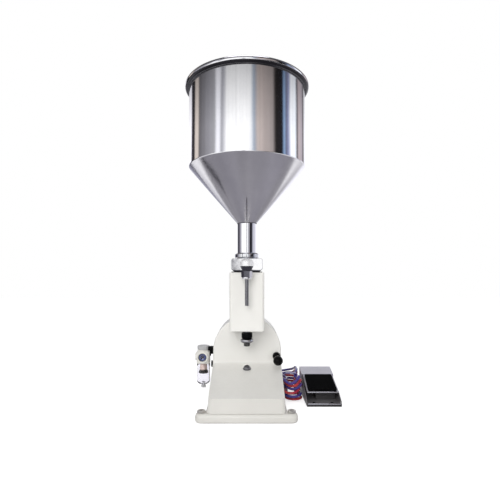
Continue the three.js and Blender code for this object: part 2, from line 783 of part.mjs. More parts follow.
// Valve block: a chamfered steel block with the spool's bore, the hopper's slot and the metering port
const spoolAxis = [0, 0, spoolAxisZ];
const hopperSlotY = hopperPortLength / 2;
function valveBlock() {
  const half = blockWidth / 2;
  const front = new THREE.Shape();
  front.moveTo(-half, blockLowZ + blockChamfer);
  front.lineTo(-half + blockChamfer, blockLowZ);
  front.lineTo(half - blockChamfer, blockLowZ);
  front.lineTo(half, blockLowZ + blockChamfer);
  front.lineTo(half, blockTopZ - blockChamfer / 2);
  front.lineTo(half - blockChamfer / 2, blockTopZ);
  front.lineTo(-half + blockChamfer / 2, blockTopZ);
  front.lineTo(-half, blockTopZ - blockChamfer / 2);
  const body = standing(front, blockFrontY, blockRearY, rimEdge);
  const bore = alongY(drum(spoolBore / 2, blockFrontY - cutOver, blockRearY + cutOver, smallSides))
    .translate(...spoolAxis);
  const slot = block(
    [hopperPortWidth, hopperPortLength, blockTopZ - spoolAxisZ + cutOver], [0, hopperSlotY, spoolAxisZ],
  );
  const meterPort = drum(meterPortSize / 2, blockLowZ - cutOver, spoolAxisZ, smallSides).translate(0, meterAxisY, 0);
  return cut(body, bore, slot, meterPort);
}
piece("valve_block", valveBlock(), polishedSteel, machine);

// Spool with its lands and the piston that drives it
const spoolCylinderNearY = blockRearY + seatGap;
const spoolPistonY = spoolCylinderNearY + spoolCylinderCap + seatGap;
const spoolCylinderFarY = spoolPistonY + spoolPistonLength + spoolTravel + seatGap + spoolCylinderCap;
function valveSpool() {
  const [land, waist] = [spoolLandSize / 2, spoolWaist / 2];
  const pistonRadiusHere = spoolCylinderBore / 2 - runningGap;
  return alongY(revolved([
    [0, spoolFrontY], [land, spoolFrontY], [land, spoolFrontY + frontLandLength],
    [waist, spoolFrontY + frontLandLength], [waist, rearLandY], [land, rearLandY],
    [land, rearLandY + rearLandLength], [waist, rearLandY + rearLandLength], [waist, spoolPistonY],
    [pistonRadiusHere, spoolPistonY], [pistonRadiusHere, spoolPistonY + spoolPistonLength],
    [0, spoolPistonY + spoolPistonLength],
  ], smallSides));
}
piece("valve_spool", valveSpool(), polishedSteel, machine, spoolAxis);

function spoolCylinder() {
  const barrel = softDrum(spoolCylinderOuter / 2, spoolCylinderNearY, spoolCylinderFarY, rimEdge, smallSides);
  const bore = drum(
    spoolCylinderBore / 2, spoolCylinderNearY + spoolCylinderCap, spoolCylinderFarY - spoolCylinderCap, smallSides,
  );
  const stemBore = drum(
    spoolWaist / 2 + runningGap, spoolCylinderNearY - cutOver,
    spoolCylinderNearY + spoolCylinderCap + cutOver, smallSides,
  );
  return alongY(cut(barrel, bore, stemBore));
}
piece("spool_cylinder", spoolCylinder(), dullSteel, machine, spoolAxis);

// Nozzle elbow: a flange on the block, then a tapered body that turns the flow down
function nozzleElbow() {
  const near = blockFrontY - seatGap;
  const boss = alongY(drum(nozzleBossSize / 2, nozzleY, near, smallSides)).translate(...spoolAxis);
  const body = revolved([
    [0, nozzleNeckLowZ], [nozzleNeckSize / 2, nozzleNeckLowZ], [nozzleNeckSize / 2, nozzleNeckLowZ + rimEdge],
    [nozzleBodySize / 2, spoolAxisZ], [nozzleBodySize / 2, nozzleBodyTopZ - rimEdge],
    [nozzleBodySize / 2 - rimEdge, nozzleBodyTopZ], [0, nozzleBodyTopZ],
  ], smallSides).translate(0, nozzleY, 0);
  const across = alongY(drum(spoolWaist, nozzleY, near + cutOver, smallSides)).translate(...spoolAxis);
  const down = drum(nozzleTubeSize / 2, nozzleNeckLowZ - cutOver, spoolAxisZ, smallSides).translate(0, nozzleY, 0);
  return cut(joined(boss, body), across, down);
}
piece("nozzle_elbow", nozzleElbow(), polishedSteel, machine);

const nozzle = new THREE.Group();
nozzle.position.set(0, nozzleY, 0);
machine.add(nozzle);
const nozzleNutTopZ = nozzleNeckLowZ - seatGap;
const nozzleNutLowZ = nozzleNutTopZ - nozzleNutHeight;
function nozzleNut() {
  const nut = raised(hexagon(nozzleNutSize), nozzleNutLowZ + nozzleNutHeight / 4, nozzleNutTopZ);
  const ring = softDrum(nozzleNutSize / 2, nozzleNutLowZ, nozzleNutLowZ + nozzleNutHeight / 3, rimEdge);
  const bore = drum(nozzleTubeSize / 2 + seatGap, nozzleNutLowZ - cutOver, nozzleNutTopZ + cutOver, smallSides);
  return cut(joined(nut, ring), bore);
}
piece("nozzle_nut", nozzleNut(), polishedSteel, nozzle);
piece(
  "nozzle_tube",
  tube(nozzleTubeSize / 2, nozzleTubeSize / 2 - nozzleTubeWall, nozzleTipZ, nozzleNutTopZ, smallSides),
  dullSteel, nozzle,
);

// Clamp joint between block and hopper: foot, gasket, hopper flange and the ring round them
const footFlangeLowZ = blockTopZ + seatGap + ferruleFoot;
const gasketLowZ = footFlangeLowZ + ferruleFlangeHeight + seatGap;
const neckBore = neckRadius - hopperWall;
function blockFerrule() {
  const top = footFlangeLowZ + ferruleFlangeHeight;
  return revolved([
    [neckBore, blockTopZ + seatGap], [neckRadius, blockTopZ + seatGap], [neckRadius, footFlangeLowZ],
    [ferruleFlange / 2, footFlangeLowZ], [ferruleFlange / 2, top], [neckBore, top],
  ]);
}
piece("block_ferrule", blockFerrule(), polishedSteel, machine);
piece(
  "hopper_gasket", tube(ferruleFlange / 2, neckBore, gasketLowZ, gasketLowZ + gasketHeight), sealRubber, machine,
);

// Hopper: neck, cone, drum and rolled rim in one spun shell, open at both ends
function hopperShell() {
  const flangeTop = hopperLowZ + ferruleFlangeHeight;
  const inner = hopperRadius - hopperWall;
  const rimCentre = [hopperRadius + rimStand, hopperTopZ + rimRadius - rimStand / 2];
  const rim = [];
  const [startShare, endShare] = [-0.62, 1.12];
  for (let i = 0; i <= rimSteps; i++) {
    const angle = Math.PI * (startShare + ((endShare - startShare) * i) / rimSteps);
    rim.push([rimCentre[0] + rimRadius * Math.cos(angle), rimCentre[1] + rimRadius * Math.sin(angle)]);
  }
  return revolved([
    [neckBore, hopperLowZ], [ferruleFlange / 2, hopperLowZ], [ferruleFlange / 2, flangeTop],
    [neckRadius, flangeTop], [neckRadius, coneLowZ], [hopperRadius, coneTopZ], ...rim,
    [inner, hopperTopZ], [inner, coneTopZ + hopperWall / 2], [neckBore, coneLowZ + hopperWall / 2],
  ], hopperSides);
}
piece("hopper", hopperShell(), polishedSteel, machine);

function clampRing() {
  const flangeLow = footFlangeLowZ - seatGap;
  const flangeHigh = hopperLowZ + ferruleFlangeHeight + seatGap;
  const [lip, inside, outside] = [neckRadius + seatGap, ferruleFlange / 2 + seatGap, clampOuter / 2];
  return revolved([
    [lip, flangeLow - clampLip + seatGap], [outside - rimEdge, flangeLow - clampLip + seatGap],
    [outside, flangeLow], [outside, flangeHigh], [outside - rimEdge, flangeHigh + clampLip],
    [lip, flangeHigh + clampLip], [lip, flangeHigh], [inside, flangeHigh], [inside, flangeLow], [lip, flangeLow],
  ]);
}
piece("clamp_ring", clampRing(), polishedSteel, machine);

// Push-pull switch: cartridge behind the wall, collar in front, stem and ball
const cartridgeNearY = columnFrontY + castWall + seatGap;
function switchValve() {
  const body = softDrum(switchBodySize / 2, cartridgeNearY, cartridgeNearY + switchBodyLength, rimEdge, smallSides);
  const neck = drum(switchNeckSize / 2, columnFrontY, cartridgeNearY + cutOver, smallSides);
  const bore = drum(
    switchStemSize / 2 + runningGap, columnFrontY - cutOver, cartridgeNearY + switchBodyLength / 2, smallSides,
  );
  return alongY(cut(joined(body, neck), bore));
}
piece("switch_valve", switchValve(), dullSteel, machine, switchAxis);
const collarFarY = columnFrontY - seatGap;
const collarNearY = collarFarY - switchCollarLength;
function switchCollar() {
  const ring = softDrum(switchCollarSize / 2, collarNearY, collarFarY, rimEdge, smallSides);
  const bore = drum(switchStemSize / 2 + runningGap, collarNearY - cutOver, collarFarY + cutOver, smallSides);
  return alongY(cut(ring, bore));
}
piece("switch_collar", switchCollar(), polishedSteel, machine, switchAxis);
const stemNearY = switchBallY + switchBallSize / 4;
const stemFarY = columnFrontY + castWall + switchTravel;
piece(
  "switch_stem", alongY(drum(switchStemSize / 2, stemNearY, stemFarY, smallSides)), polishedSteel, machine, switchAxis,
);
function switchKnob() {
  const ball = new THREE.SphereGeometry(switchBallSize / 2, smallSides, smallSides / 2);
  const socket = alongY(drum(switchStemSize / 2 + seatGap, switchBallSize / 4 - seatGap, switchBallSize, smallSides));
  return cut(ball, socket);
}
piece("switch_knob", switchKnob(), blackPlastic, machine, [switchX, switchBallY, switchZ]);

// Regulator, in a group on its own upright axis
const regulator = new THREE.Group();
regulator.position.set(regulatorX, regulatorY, 0);
machine.add(regulator);

const gaugeFarY = -regulatorHalfWidth - seatGap;
const gaugeNearY = gaugeFarY - gaugeDepth;
function regulatorBody() {
  const width = 2 * regulatorHalfWidth;
  const shell = raised(rectangle(width, width, regulatorHalfWidth / 2), regulatorLowZ, regulatorTopZ, rimEdge);
  const neck = alongX(drum(elbowThread / 2 + seatGap, regulatorHalfWidth / 2, regulatorHalfWidth + cutOver, smallSides))
    .translate(0, 0, elbowZ - elbowSize / 2);
  return cut(shell, neck);
}
piece("regulator_body", regulatorBody(), offWhitePlastic, regulator);

function regulatorCap() {
  const grip = softDrum(capSize / 2, capLowZ, capTopZ, gripEdge);
  const notches = [];
  const reach = (capSize / 2) * (1 + capRibDepthShare);
  for (let i = 0; i < capRibs; i++) {
    const angle = (i * 2 * Math.PI) / capRibs;
    notches.push(
      drum(capSize * capRibDepthShare, capLowZ - cutOver, capTopZ + cutOver, 8)
        .translate(reach * Math.cos(angle), reach * Math.sin(angle), 0),
    );
  }
  return cut(grip, ...notches);
}
piece("regulator_cap", regulatorCap(), greyPlastic, regulator);

// Gauge: a cup with a dial floor, a needle on its boss and a lens in the rim
const dialY = gaugeFarY - gaugeDepth / 3;
function gaugeCase() {
  const cup = softDrum(gaugeSize / 2, gaugeNearY, gaugeFarY, rimEdge);
  const hollow = drum(gaugeSize / 2 - gaugeRim, gaugeNearY - cutOver, dialY);
  return alongY(cut(cup, hollow));
}
piece("gauge_case", gaugeCase(), offWhitePlastic, regulator, [0, 0, gaugeZ]);
const needleFarY = dialY - seatGap;
function gaugeNeedle() {
  const reach = gaugeSize / 2 - gaugeRim - looseGap;
  const boss = alongY(drum(needleWidth, needleFarY - 2 * needleThickness, needleFarY, smallSides));
  const hand = block(
    [needleWidth, needleThickness, reach + reach / 3], [0, needleFarY - needleThickness / 2, -reach / 3],
  );
  return joined(boss, hand);
}
const needle = piece("gauge_needle", gaugeNeedle(), blackPlastic, regulator, [0, 0, gaugeZ]);
needle.rotation.y = THREE.MathUtils.degToRad(needleRestTurn);
const lensFarY = needleFarY - 2 * needleThickness - seatGap;
piece(
  "gauge_lens", alongY(drum(gaugeSize / 2 - gaugeRim - seatGap, lensFarY - gaugeLensThickness, lensFarY)),
  clearPlastic, regulator, [0, 0, gaugeZ],
);

// Bowl, and what shows through it: the filter, the baffle and the drain
function filterBowl() {
  const [outer, inner] = [bowlSize / 2, bowlSize / 2 - bowlWall];
  const mouth = drainStemSize / 2 + seatGap;
  const shoulder = bowlLowZ + (outer - mouth) * bowlTaperShare;
  return revolved([
    [mouth, bowlLowZ], [mouth + bowlNose, bowlLowZ], [outer - rimEdge, shoulder - bowlWall],
    [outer, shoulder + rimEdge], [outer, bowlTopZ],
    [inner, bowlTopZ], [inner, shoulder + bowlWall], [mouth + bowlNose - rimEdge, bowlLowZ + 2 * bowlWall],
    [mouth, bowlLowZ + 2 * bowlWall],
  ], roundSides);
}
piece("filter_bowl", filterBowl(), clearPlastic, regulator);
piece(
  "filter_element", tube(filterSize / 2, filterBore / 2, filterLowZ, bowlTopZ + seatGap, smallSides),
  bronzeFilter, regulator,
);
function baffle() {
  const top = filterLowZ - seatGap;
  const low = top - baffleThickness;
  const disc = drum(baffleSize / 2, low, top);
  const slots = [];
  for (let i = 0; i < baffleRibs; i++) {
    const angle = (i * 2 * Math.PI) / baffleRibs;
    const slot = block(
      [baffleSize / 8, baffleSize / 16, baffleThickness + 2 * cutOver], [baffleSize / 2, 0, low - cutOver],
    );
    slots.push(slot.rotateZ(angle));
  }
  return cut(disc, ...slots);
}
piece("baffle", baffle(), blackPlastic, regulator);
function bowlDrain() {
  const stem = drainStemSize / 2;
  return revolved([
    [0, drainLowZ], [drainSize / 2 - rimEdge, drainLowZ], [drainSize / 2, drainLowZ + rimEdge],
    [drainSize / 2, bowlLowZ - drainTravel - looseGap], [stem, bowlLowZ - drainTravel - looseGap],
    [stem, bowlLowZ + 3 * bowlWall], [0, bowlLowZ + 3 * bowlWall],
  ], smallSides);
}
piece("bowl_drain", bowlDrain(), greyPlastic, regulator);

// Black elbow that carries the regulator from the flank, and the plug under it
function regulatorElbow() {
  const flankX = -columnHalfWidth - regulatorX - seatGap;
  const bodyX = regulatorHalfWidth + seatGap;
  const low = elbowZ - elbowSize / 2;
  const arm = block(
    [flankX - bodyX, elbowSize, elbowSize], [bodyX + (flankX - bodyX) / 2, 0, low],
  );
  const thread = alongX(drum(elbowThread / 2, bodyX, flankX + castWall + cutOver, smallSides)).translate(0, 0, elbowZ);
  const nipple = alongX(drum(elbowThread / 2, regulatorHalfWidth / 2 + seatGap, bodyX + cutOver, smallSides))
    .translate(0, 0, low);
  const trim = block([2 * bodyX, elbowSize, elbowSize], [0, 0, regulatorTopZ]);
  return cut(joined(arm, thread, nipple), trim);
}
piece("regulator_elbow", regulatorElbow(), blackPlastic, regulator);
function flankPlug() {
  const near = -columnHalfWidth - regulatorX - seatGap - plugX;
  const head = alongX(raised(hexagon(plugSize), near - plugX, near));
  const shank = alongX(drum(plugSize / 4, near - rimEdge, near + plugX + castWall, smallSides));
  return joined(head, shank).translate(0, 0, plugZ);
}
piece("flank_plug", flankPlug(), blackPlastic, regulator);

// Foot pedal
const pedal = new THREE.Group();
pedal.position.set(pedalX, pedalFrontY, 0);
machine.add(pedal);

const lugX = hingeArmHalfWidth + runningGap + hingeLugThickness / 2;
// A lug or arm: a rounded eye on the hinge line, running to a foot in the Y-Z plane
function hingeCheek(x, thickness, eye, footNear, footFar, footZ) {
  const side = new THREE.Shape();
  side.moveTo(footNear, footZ);
  side.lineTo(footFar, footZ);
  side.absarc(hingeY, hingeZ, eye / 2, 0, Math.PI);
  const slab = new THREE.ExtrudeGeometry(side, { depth: thickness, bevelEnabled: false, curveSegments: eyeArcs });
  return slab.rotateX(Math.PI / 2).rotateZ(Math.PI / 2).translate(x - thickness / 2, 0, 0);
}

function pedalTray() {
  const outer = raised(rectangle(pedalWidth, pedalLength, pedalCorner, 0, pedalLength / 2), 0, trayWallHeight);
  const inner = block(
    [pedalWidth - 2 * pedalWall, pedalLength - 2 * pedalWall, trayWallHeight], [0, pedalLength / 2, trayFloor],
  );
  const frontDrop = block(
    [pedalWidth + cutOver, treadleFrontY, trayWallHeight], [0, treadleFrontY / 2 - pedalWall, trayLipHeight],
  );
  const holes = [-trayHoleX, trayHoleX].map((x) =>
    drum(trayHoleSize / 2, -cutOver, trayFloor + cutOver, smallSides).translate(x, trayHoleY, 0));
  const lugs = [-lugX, lugX].map((x) =>
    hingeCheek(x, hingeLugThickness, hingeLug, hingeY - hingeLug, hingeY + hingeLug, trayFloor - rimEdge));
  const pinHole = alongX(drum(hingePinSize / 2 + seatGap, -pedalWidth, pedalWidth, smallSides))
    .translate(0, hingeY, hingeZ);
  return cut(joined(cut(outer, inner, frontDrop, ...holes), ...lugs), pinHole);
}
piece("pedal_tray", pedalTray(), pedalMetal, pedal);

function hingePin() {
  const half = lugX + hingeLugThickness / 2;
  return alongX(drum(hingePinSize / 2, -half, half, smallSides));
}
piece("hinge_pin", hingePin(), dullSteel, pedal, [0, hingeY, hingeZ]);

// Hood over the hinge: sides, back and a sloping top, open to the front and below
function sideWedge(nearY, nearZ, farY, farZ, low, halfWidth) {
  const side = new THREE.Shape();
  side.moveTo(nearY, low);
  side.lineTo(farY, low);
  side.lineTo(farY, farZ);
  side.lineTo(nearY, nearZ);
  const slab = new THREE.ExtrudeGeometry(side, { depth: 2 * halfWidth, bevelEnabled: false });
  return slab.rotateX(Math.PI / 2).rotateZ(Math.PI / 2).translate(-halfWidth, 0, 0);
}
function pedalHood() {
  const low = trayWallHeight + seatGap;
  const outer = sideWedge(hoodFrontY, hoodFrontZ, pedalLength, hoodRearZ, low, pedalWidth / 2);
  const innerHalf = pedalWidth / 2 - pedalWall;
  const slope = (hoodRearZ - hoodFrontZ) / (pedalLength - hoodFrontY);
  const inner = sideWedge(
    hoodFrontY - cutOver, hoodFrontZ - pedalWall - slope * cutOver,
    pedalLength - pedalWall, hoodRearZ - pedalWall - slope * pedalWall, low - cutOver, innerHalf,
  );
  const portHoles = pedalPortXs.map((x) =>
    alongY(drum(portCollar / 3 + runningGap, pedalLength - 2 * cutOver, pedalLength + cutOver, smallSides))
      .translate(x, 0, pedalPortZ));
  return cut(outer, inner, ...portHoles);
}
piece("pedal_hood", pedalHood(), pedalMetal, pedal);

const treadleSlope = (treadleRearZ - treadleFrontZ) / (treadleRearY - treadleFrontY);
const treadleTilt = Math.atan(treadleSlope);
const treadleLength = (treadleRearY - treadleFrontY) / Math.cos(treadleTilt);
// Built flat from the front edge of its top face, then tilted to its slope
const tiltTreadle = (geometry) => geometry.rotateX(treadleTilt).translate(0, treadleFrontY, treadleFrontZ);
function treadle() {
  const plate = block([treadleWidth, treadleLength, treadlePlate], [0, treadleLength / 2, -treadlePlate]);
  const flangeX = treadleWidth / 2 - pedalWall / 2;
  const flanges = [-flangeX, flangeX].map((x) =>
    block(
      [pedalWall, treadleLength, treadleFlange + treadlePlate], [x, treadleLength / 2, -treadlePlate - treadleFlange],
    ));
  const nose = block(
    [treadleWidth, pedalWall, treadleFlange / 2 + treadlePlate], [0, pedalWall / 2, -treadlePlate - treadleFlange / 2],
  );
  const top = tiltTreadle(joined(plate, nose, ...flanges));
  const armZ = hingeZ - hingeBarrel / 4;
  const armFoot = treadleRearY - hingeBarrel;
  const armX = hingeArmHalfWidth - hingeLugThickness / 2;
  const arms = [-armX, armX].map((x) => {
    const side = new THREE.Shape();
    side.moveTo(armFoot, armZ);
    side.lineTo(hingeY, hingeZ - hingeBarrel / 2);
    side.lineTo(hingeY, hingeZ + hingeBarrel / 2);
    side.lineTo(treadleRearY - rimEdge, treadleRearZ - treadlePlate);
    side.lineTo(armFoot, treadleRearZ - treadlePlate - hingeBarrel * treadleSlope);
    const slab = new THREE.ExtrudeGeometry(side, { depth: hingeLugThickness, bevelEnabled: false });
    return slab.rotateX(Math.PI / 2).rotateZ(Math.PI / 2).translate(x - hingeLugThickness / 2, 0, 0);
  });
  const barrel = alongX(drum(hingeBarrel / 2, -hingeArmHalfWidth, hingeArmHalfWidth, smallSides))
    .translate(0, hingeY, hingeZ);
  const pinHole = alongX(drum(hingePinSize / 2 + seatGap, -pedalWidth, pedalWidth, smallSides))
    .translate(0, hingeY, hingeZ);
  return cut(joined(top, barrel, ...arms), pinHole);
}
piece("treadle", treadle(), pedalMetal, pedal);

function treadlePad() {
  const length = treadleLength - padFrontMargin - looseGap;
  const start = padFrontMargin;
  const slab = raised(
    rectangle(padWidth, length, padThickness, 0, start + length / 2), seatGap, seatGap + padThickness,
  );
  const grooves = [];
  for (let i = 1; i < padRibs; i++) {
    const y = start + (length * i) / padRibs;
    grooves.push(block(
      [padWidth - 4 * padThickness, padRibDepth, padThickness], [0, y, seatGap + padThickness - padRibDepth],
    ));
  }
  return tiltTreadle(cut(slab, ...grooves));
}
piece("treadle_pad", treadlePad(), blackRubber, pedal);

// Pedal valve in the tray, with two stubs that run back to the hood's rear wall
const valveLowZ = trayFloor + seatGap;
const pedalMouthY = pedalLength + portCollarLength + cutOver;
function pedalValve() {
  const body = block(
    [pedalValveWidth, pedalValveLength, pedalValveHeight], [pedalValveX, pedalValveY, valveLowZ],
  );
  const bore = drum(
    plungerSize / 2 + runningGap, valveLowZ + pedalValveFloor, valveLowZ + pedalValveHeight + cutOver, smallSides,
  ).translate(0, plungerY, 0);
  const rear = pedalValveY + pedalValveLength / 2;
  const stubs = pedalPortXs.map((x) => {
    const pipe = drum(portCollar / 3, rear - cutOver, pedalLength + cutOver, smallSides);
    const collar = portStub(pedalLength + cutOver + seatGap, pedalMouthY - pedalLength - cutOver - seatGap);
    return alongY(joined(pipe, collar)).translate(x, 0, pedalPortZ);
  });
  return cut(joined(body, ...stubs), bore);
}
piece("pedal_valve", pedalValve(), blackPlastic, pedal);

function valvePlunger() {
  const radius = plungerSize / 2;
  const dome = plungerDomeShares.map(([out, down]) => [radius * out, plungerTopZ - radius * down]);
  const low = plungerTopZ - plungerLength;
  return revolved([[0, low], [radius, low], ...dome, [0, plungerTopZ]], smallSides);
}
piece("valve_plunger", valvePlunger(), dullSteel, pedal, [0, plungerY, 0]);

// Hoses

// Where the hank's tube is after a length along it, for a hose whose first layer is firstLevel.
// It starts at the rear fold's crown, goes forward on the left and comes back, climbing, on the right.
const foldQuarter = (hankFoldRadius * Math.PI) / 2;
const hankLoop = 4 * foldQuarter + 4 * hankHalfRun;
const pinchAt = (along) => hankWaistPinch * Math.sin((Math.PI * along) / (2 * hankHalfRun)) ** 2;
function hankPoint(length, firstLevel) {
  const turn = Math.floor(length / hankLoop);
  let rest = length - turn * hankLoop;
  const at = (x, y, climb) => {
    const level = firstLevel + 2 * (turn + climb);
    return new THREE.Vector3(hankX + x, hankY + y, hankLowZ + hankPitch * level);
  };
  if (rest < foldQuarter) {
    const angle = rest / hankFoldRadius;
    return at(-hankFoldRadius * Math.sin(angle), hankHalfRun + hankFoldRadius * Math.cos(angle), 0);
  }
  rest -= foldQuarter;
  if (rest < 2 * hankHalfRun) return at(-hankFoldRadius + pinchAt(rest), hankHalfRun - rest, 0);
  rest -= 2 * hankHalfRun;
  if (rest < 2 * foldQuarter) {
    const angle = rest / hankFoldRadius;
    return at(-hankFoldRadius * Math.cos(angle), -hankHalfRun - hankFoldRadius * Math.sin(angle), 0);
  }
  rest -= 2 * foldQuarter;
  if (rest < 2 * hankHalfRun) {
    const climb = (1 - Math.cos((Math.PI * rest) / (2 * hankHalfRun))) / 2;
    return at(hankFoldRadius - pinchAt(rest), -hankHalfRun + rest, climb);
  }
  const angle = (rest - 2 * hankHalfRun) / hankFoldRadius;
  return at(hankFoldRadius * Math.cos(angle), hankHalfRun + hankFoldRadius * Math.sin(angle), 1);
}

function hankCentres(firstLevel, stepsPerLoop) {
  const end = hankPasses * hankLoop - foldQuarter;
  const step = hankLoop / stepsPerLoop;
  const start = hankPoint(0, firstLevel);
  const centres = [start.clone().add(new THREE.Vector3(hoseSize, 0, 0))];
  for (let length = 0; length < end - step / 2; length += step) centres.push(hankPoint(length, firstLevel));
  const stop = hankPoint(end - weldReach, firstLevel);
  centres.push(stop, stop.clone().add(new THREE.Vector3(0, hoseSize, 0)));
  return centres;
}

// A tube through centres whose frame keeps one side level, closed at both ends
function levelTube(centres, radius, sides) {
  const up = new THREE.Vector3(0, 0, 1);
  const rings = centres.map((centre, i) => {
    const before = centres[Math.max(i - 1, 0)];
    const after = centres[Math.min(i + 1, centres.length - 1)];
    const ahead = after.clone().sub(before).normalize();
    if (i === 0) ahead.copy(centres[1]).sub(centre).normalize();
    const across = ahead.clone().cross(up).normalize();
    const over = across.clone().cross(ahead);
    return Array.from({ length: sides }, (_, side) => {
      const angle = (side * 2 * Math.PI) / sides;
      return centre.clone()
        .addScaledVector(across, radius * Math.cos(angle))
        .addScaledVector(over, radius * Math.sin(angle)).toArray();
    });
  });
  const positions = rings.flat(2);
  const index = [];
  for (let ring = 0; ring + 1 < rings.length; ring++)
    for (let side = 0; side < sides; side++) {
      const [a, b] = [ring * sides + side, ring * sides + ((side + 1) % sides)];
      index.push(a, b + sides, b, a, a + sides, b + sides);
    }
  const last = (rings.length - 1) * sides;
  for (let side = 1; side + 1 < sides; side++)
    index.push(0, side, side + 1, last, last + side + 1, last + side);
  const geometry = new THREE.BufferGeometry();
  geometry.setAttribute("position", new THREE.Float32BufferAttribute(positions, 3));
  geometry.setIndex(index);
  return geometry;
}

// A free run: a round section drawn along a smooth curve through its route
function runTube(route) {
  const curve = new THREE.CatmullRomCurve3(route.map((point) => new THREE.Vector3(...point)));
  const section = new THREE.Shape();
  for (let i = 0; i < hoseSides; i++) {
    const angle = (i * 2 * Math.PI) / hoseSides;
    section.lineTo((hoseSize / 2) * Math.cos(angle), (hoseSize / 2) * Math.sin(angle));
  }
  return new THREE.ExtrudeGeometry(section, { steps: routeSteps, extrudePath: curve, bevelEnabled: false });
}

// The least gap between the wound tubes, measured on their centre points
function leastHankGap() {
  const fine = 8 * hankStepsPerLoop;
  const strands = [0, 1].map((level) => hankCentres(level, fine));
  const nearStep = Math.ceil((3 * hoseSize) / (hankLoop / fine));
  let least = Infinity;
  strands.forEach((one, i) =>
    strands.slice(i).forEach((other, j) =>
      one.forEach((point, a) => {
        for (let b = 0; b < other.length; b++)
          if (j > 0 || Math.abs(a - b) > nearStep) least = Math.min(least, point.distanceTo(other[b]));
      })));
  return least - hoseSize;
}
console.log(`least gap between the hank's tubes: ${leastHankGap().toFixed(2)} mm`);

const hoses = [
  ["red", 0, redHose, redMachineRoute, redPedalRoute],
  ["blue", 1, blueHose, blueMachineRoute, bluePedalRoute],
];
for (const [name, level, colour, machineRoute, pedalRoute] of hoses) {
  const hank = levelTube(hankCentres(level, hankStepsPerLoop), hoseSize / 2, hankSides);
  piece(`${name}_hose_hank`, hank, colour, machine);
  piece(`${name}_hose_machine_run`, runTube(machineRoute), colour, machine);
  piece(`${name}_hose_pedal_run`, runTube(pedalRoute), colour, machine);
}

// The strap round the hank's waist
function hankTie() {
  const half = hankFoldRadius - hankWaistPinch + hoseSize / 2 + tieSideSlack;
  const low = hankLowZ - hoseSize / 2 - seatGap;
  const topLevel = 2 * hankPasses;
  const high = hankLowZ + hankPitch * topLevel + hoseSize / 2 + tieSlack;
  const middle = (low + high) / 2;
  const corner = hoseSize / 2;
  const strap = rectangle(2 * (half + tieThickness), high - low + 2 * tieThickness, corner + tieThickness, 0, middle);
  const hollow = rectangle(2 * half, high - low, corner, 0, middle);
  strap.holes.push(hollow);
  return standing(strap, -tieWidth / 2, tieWidth / 2);
}
piece("hank_tie", hankTie(), blueHose, machine, [hankX, hankY, 0]);

export default machine;
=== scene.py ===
# A bench-top pneumatic filling machine with its foot pedal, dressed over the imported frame.
# Metres, +Z up, the operator stands at -Y. Sizes in the dictionaries are in millimetres unless they say so.
import math

import bmesh
import bpy
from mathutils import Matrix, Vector


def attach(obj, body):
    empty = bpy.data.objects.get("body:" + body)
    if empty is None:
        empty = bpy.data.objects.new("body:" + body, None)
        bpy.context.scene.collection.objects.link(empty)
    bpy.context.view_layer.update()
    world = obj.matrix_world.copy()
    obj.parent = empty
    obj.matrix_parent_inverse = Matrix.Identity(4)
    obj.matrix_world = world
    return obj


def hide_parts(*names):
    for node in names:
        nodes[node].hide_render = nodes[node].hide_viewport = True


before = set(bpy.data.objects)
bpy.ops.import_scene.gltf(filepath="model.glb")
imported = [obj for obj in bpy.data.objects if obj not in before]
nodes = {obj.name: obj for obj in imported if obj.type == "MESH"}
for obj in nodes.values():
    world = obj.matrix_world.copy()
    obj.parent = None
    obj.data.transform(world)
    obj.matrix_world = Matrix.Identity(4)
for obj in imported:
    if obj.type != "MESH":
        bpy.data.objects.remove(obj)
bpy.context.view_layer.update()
scene = bpy.context.scene
materials = bpy.data.materials
mm = 0.001
up, back, front, right, left = (0, 0, 0), (-90, 0, 0), (90, 0, 0), (0, 90, 0), (0, -90, 0)  # for pieces made along Z


def deselectAll():
    if bpy.context.object and bpy.context.object.mode != "OBJECT":
        bpy.ops.object.mode_set(mode="OBJECT")
    for thing in list(bpy.context.selected_objects):
        thing.select_set(False)


def pickOnly(piece):
    deselectAll()
    piece.select_set(True)
    bpy.context.view_layer.objects.active = piece


def edit(piece, select="DESELECT"):
    pickOnly(piece)
    bpy.ops.object.mode_set(mode="EDIT")
    bpy.ops.mesh.select_all(action=select)


def done():
    bpy.ops.object.mode_set(mode="OBJECT")


def pickFaces(piece, test):
    bpy.ops.mesh.select_mode(type="FACE")
    bpy.ops.mesh.select_all(action="DESELECT")
    mesh = bmesh.from_edit_mesh(piece.data)
    for face in mesh.faces:
        if test(face.calc_center_median() / mm, face.normal):
            face.select_set(True)
    bmesh.update_edit_mesh(piece.data)


def bevelEdges(piece, test, width, segments):
    bpy.ops.mesh.select_mode(type="EDGE")
    bpy.ops.mesh.select_all(action="DESELECT")
    mesh = bmesh.from_edit_mesh(piece.data)
    for edge in mesh.edges:
        a, b = (corner.co / mm for corner in edge.verts)
        if test(a, b):
            edge.select_set(True)
    bmesh.update_edit_mesh(piece.data)
    bpy.ops.mesh.bevel(offset=width * mm, segments=segments)


def upright(a, b):
    return abs(a.z - b.z) > 1


def facingOut():
    bpy.ops.mesh.select_all(action="SELECT")
    bpy.ops.mesh.normals_make_consistent(inside=False)
    done()


def settled(piece):
    pickOnly(piece)
    bpy.ops.object.transform_apply(location=True, rotation=True, scale=True)
    return piece


def place(piece, at=(0, 0, 0), turn=up):
    piece.location = Vector(at) * mm
    piece.rotation_euler = [math.radians(angle) for angle in turn]
    return settled(piece)


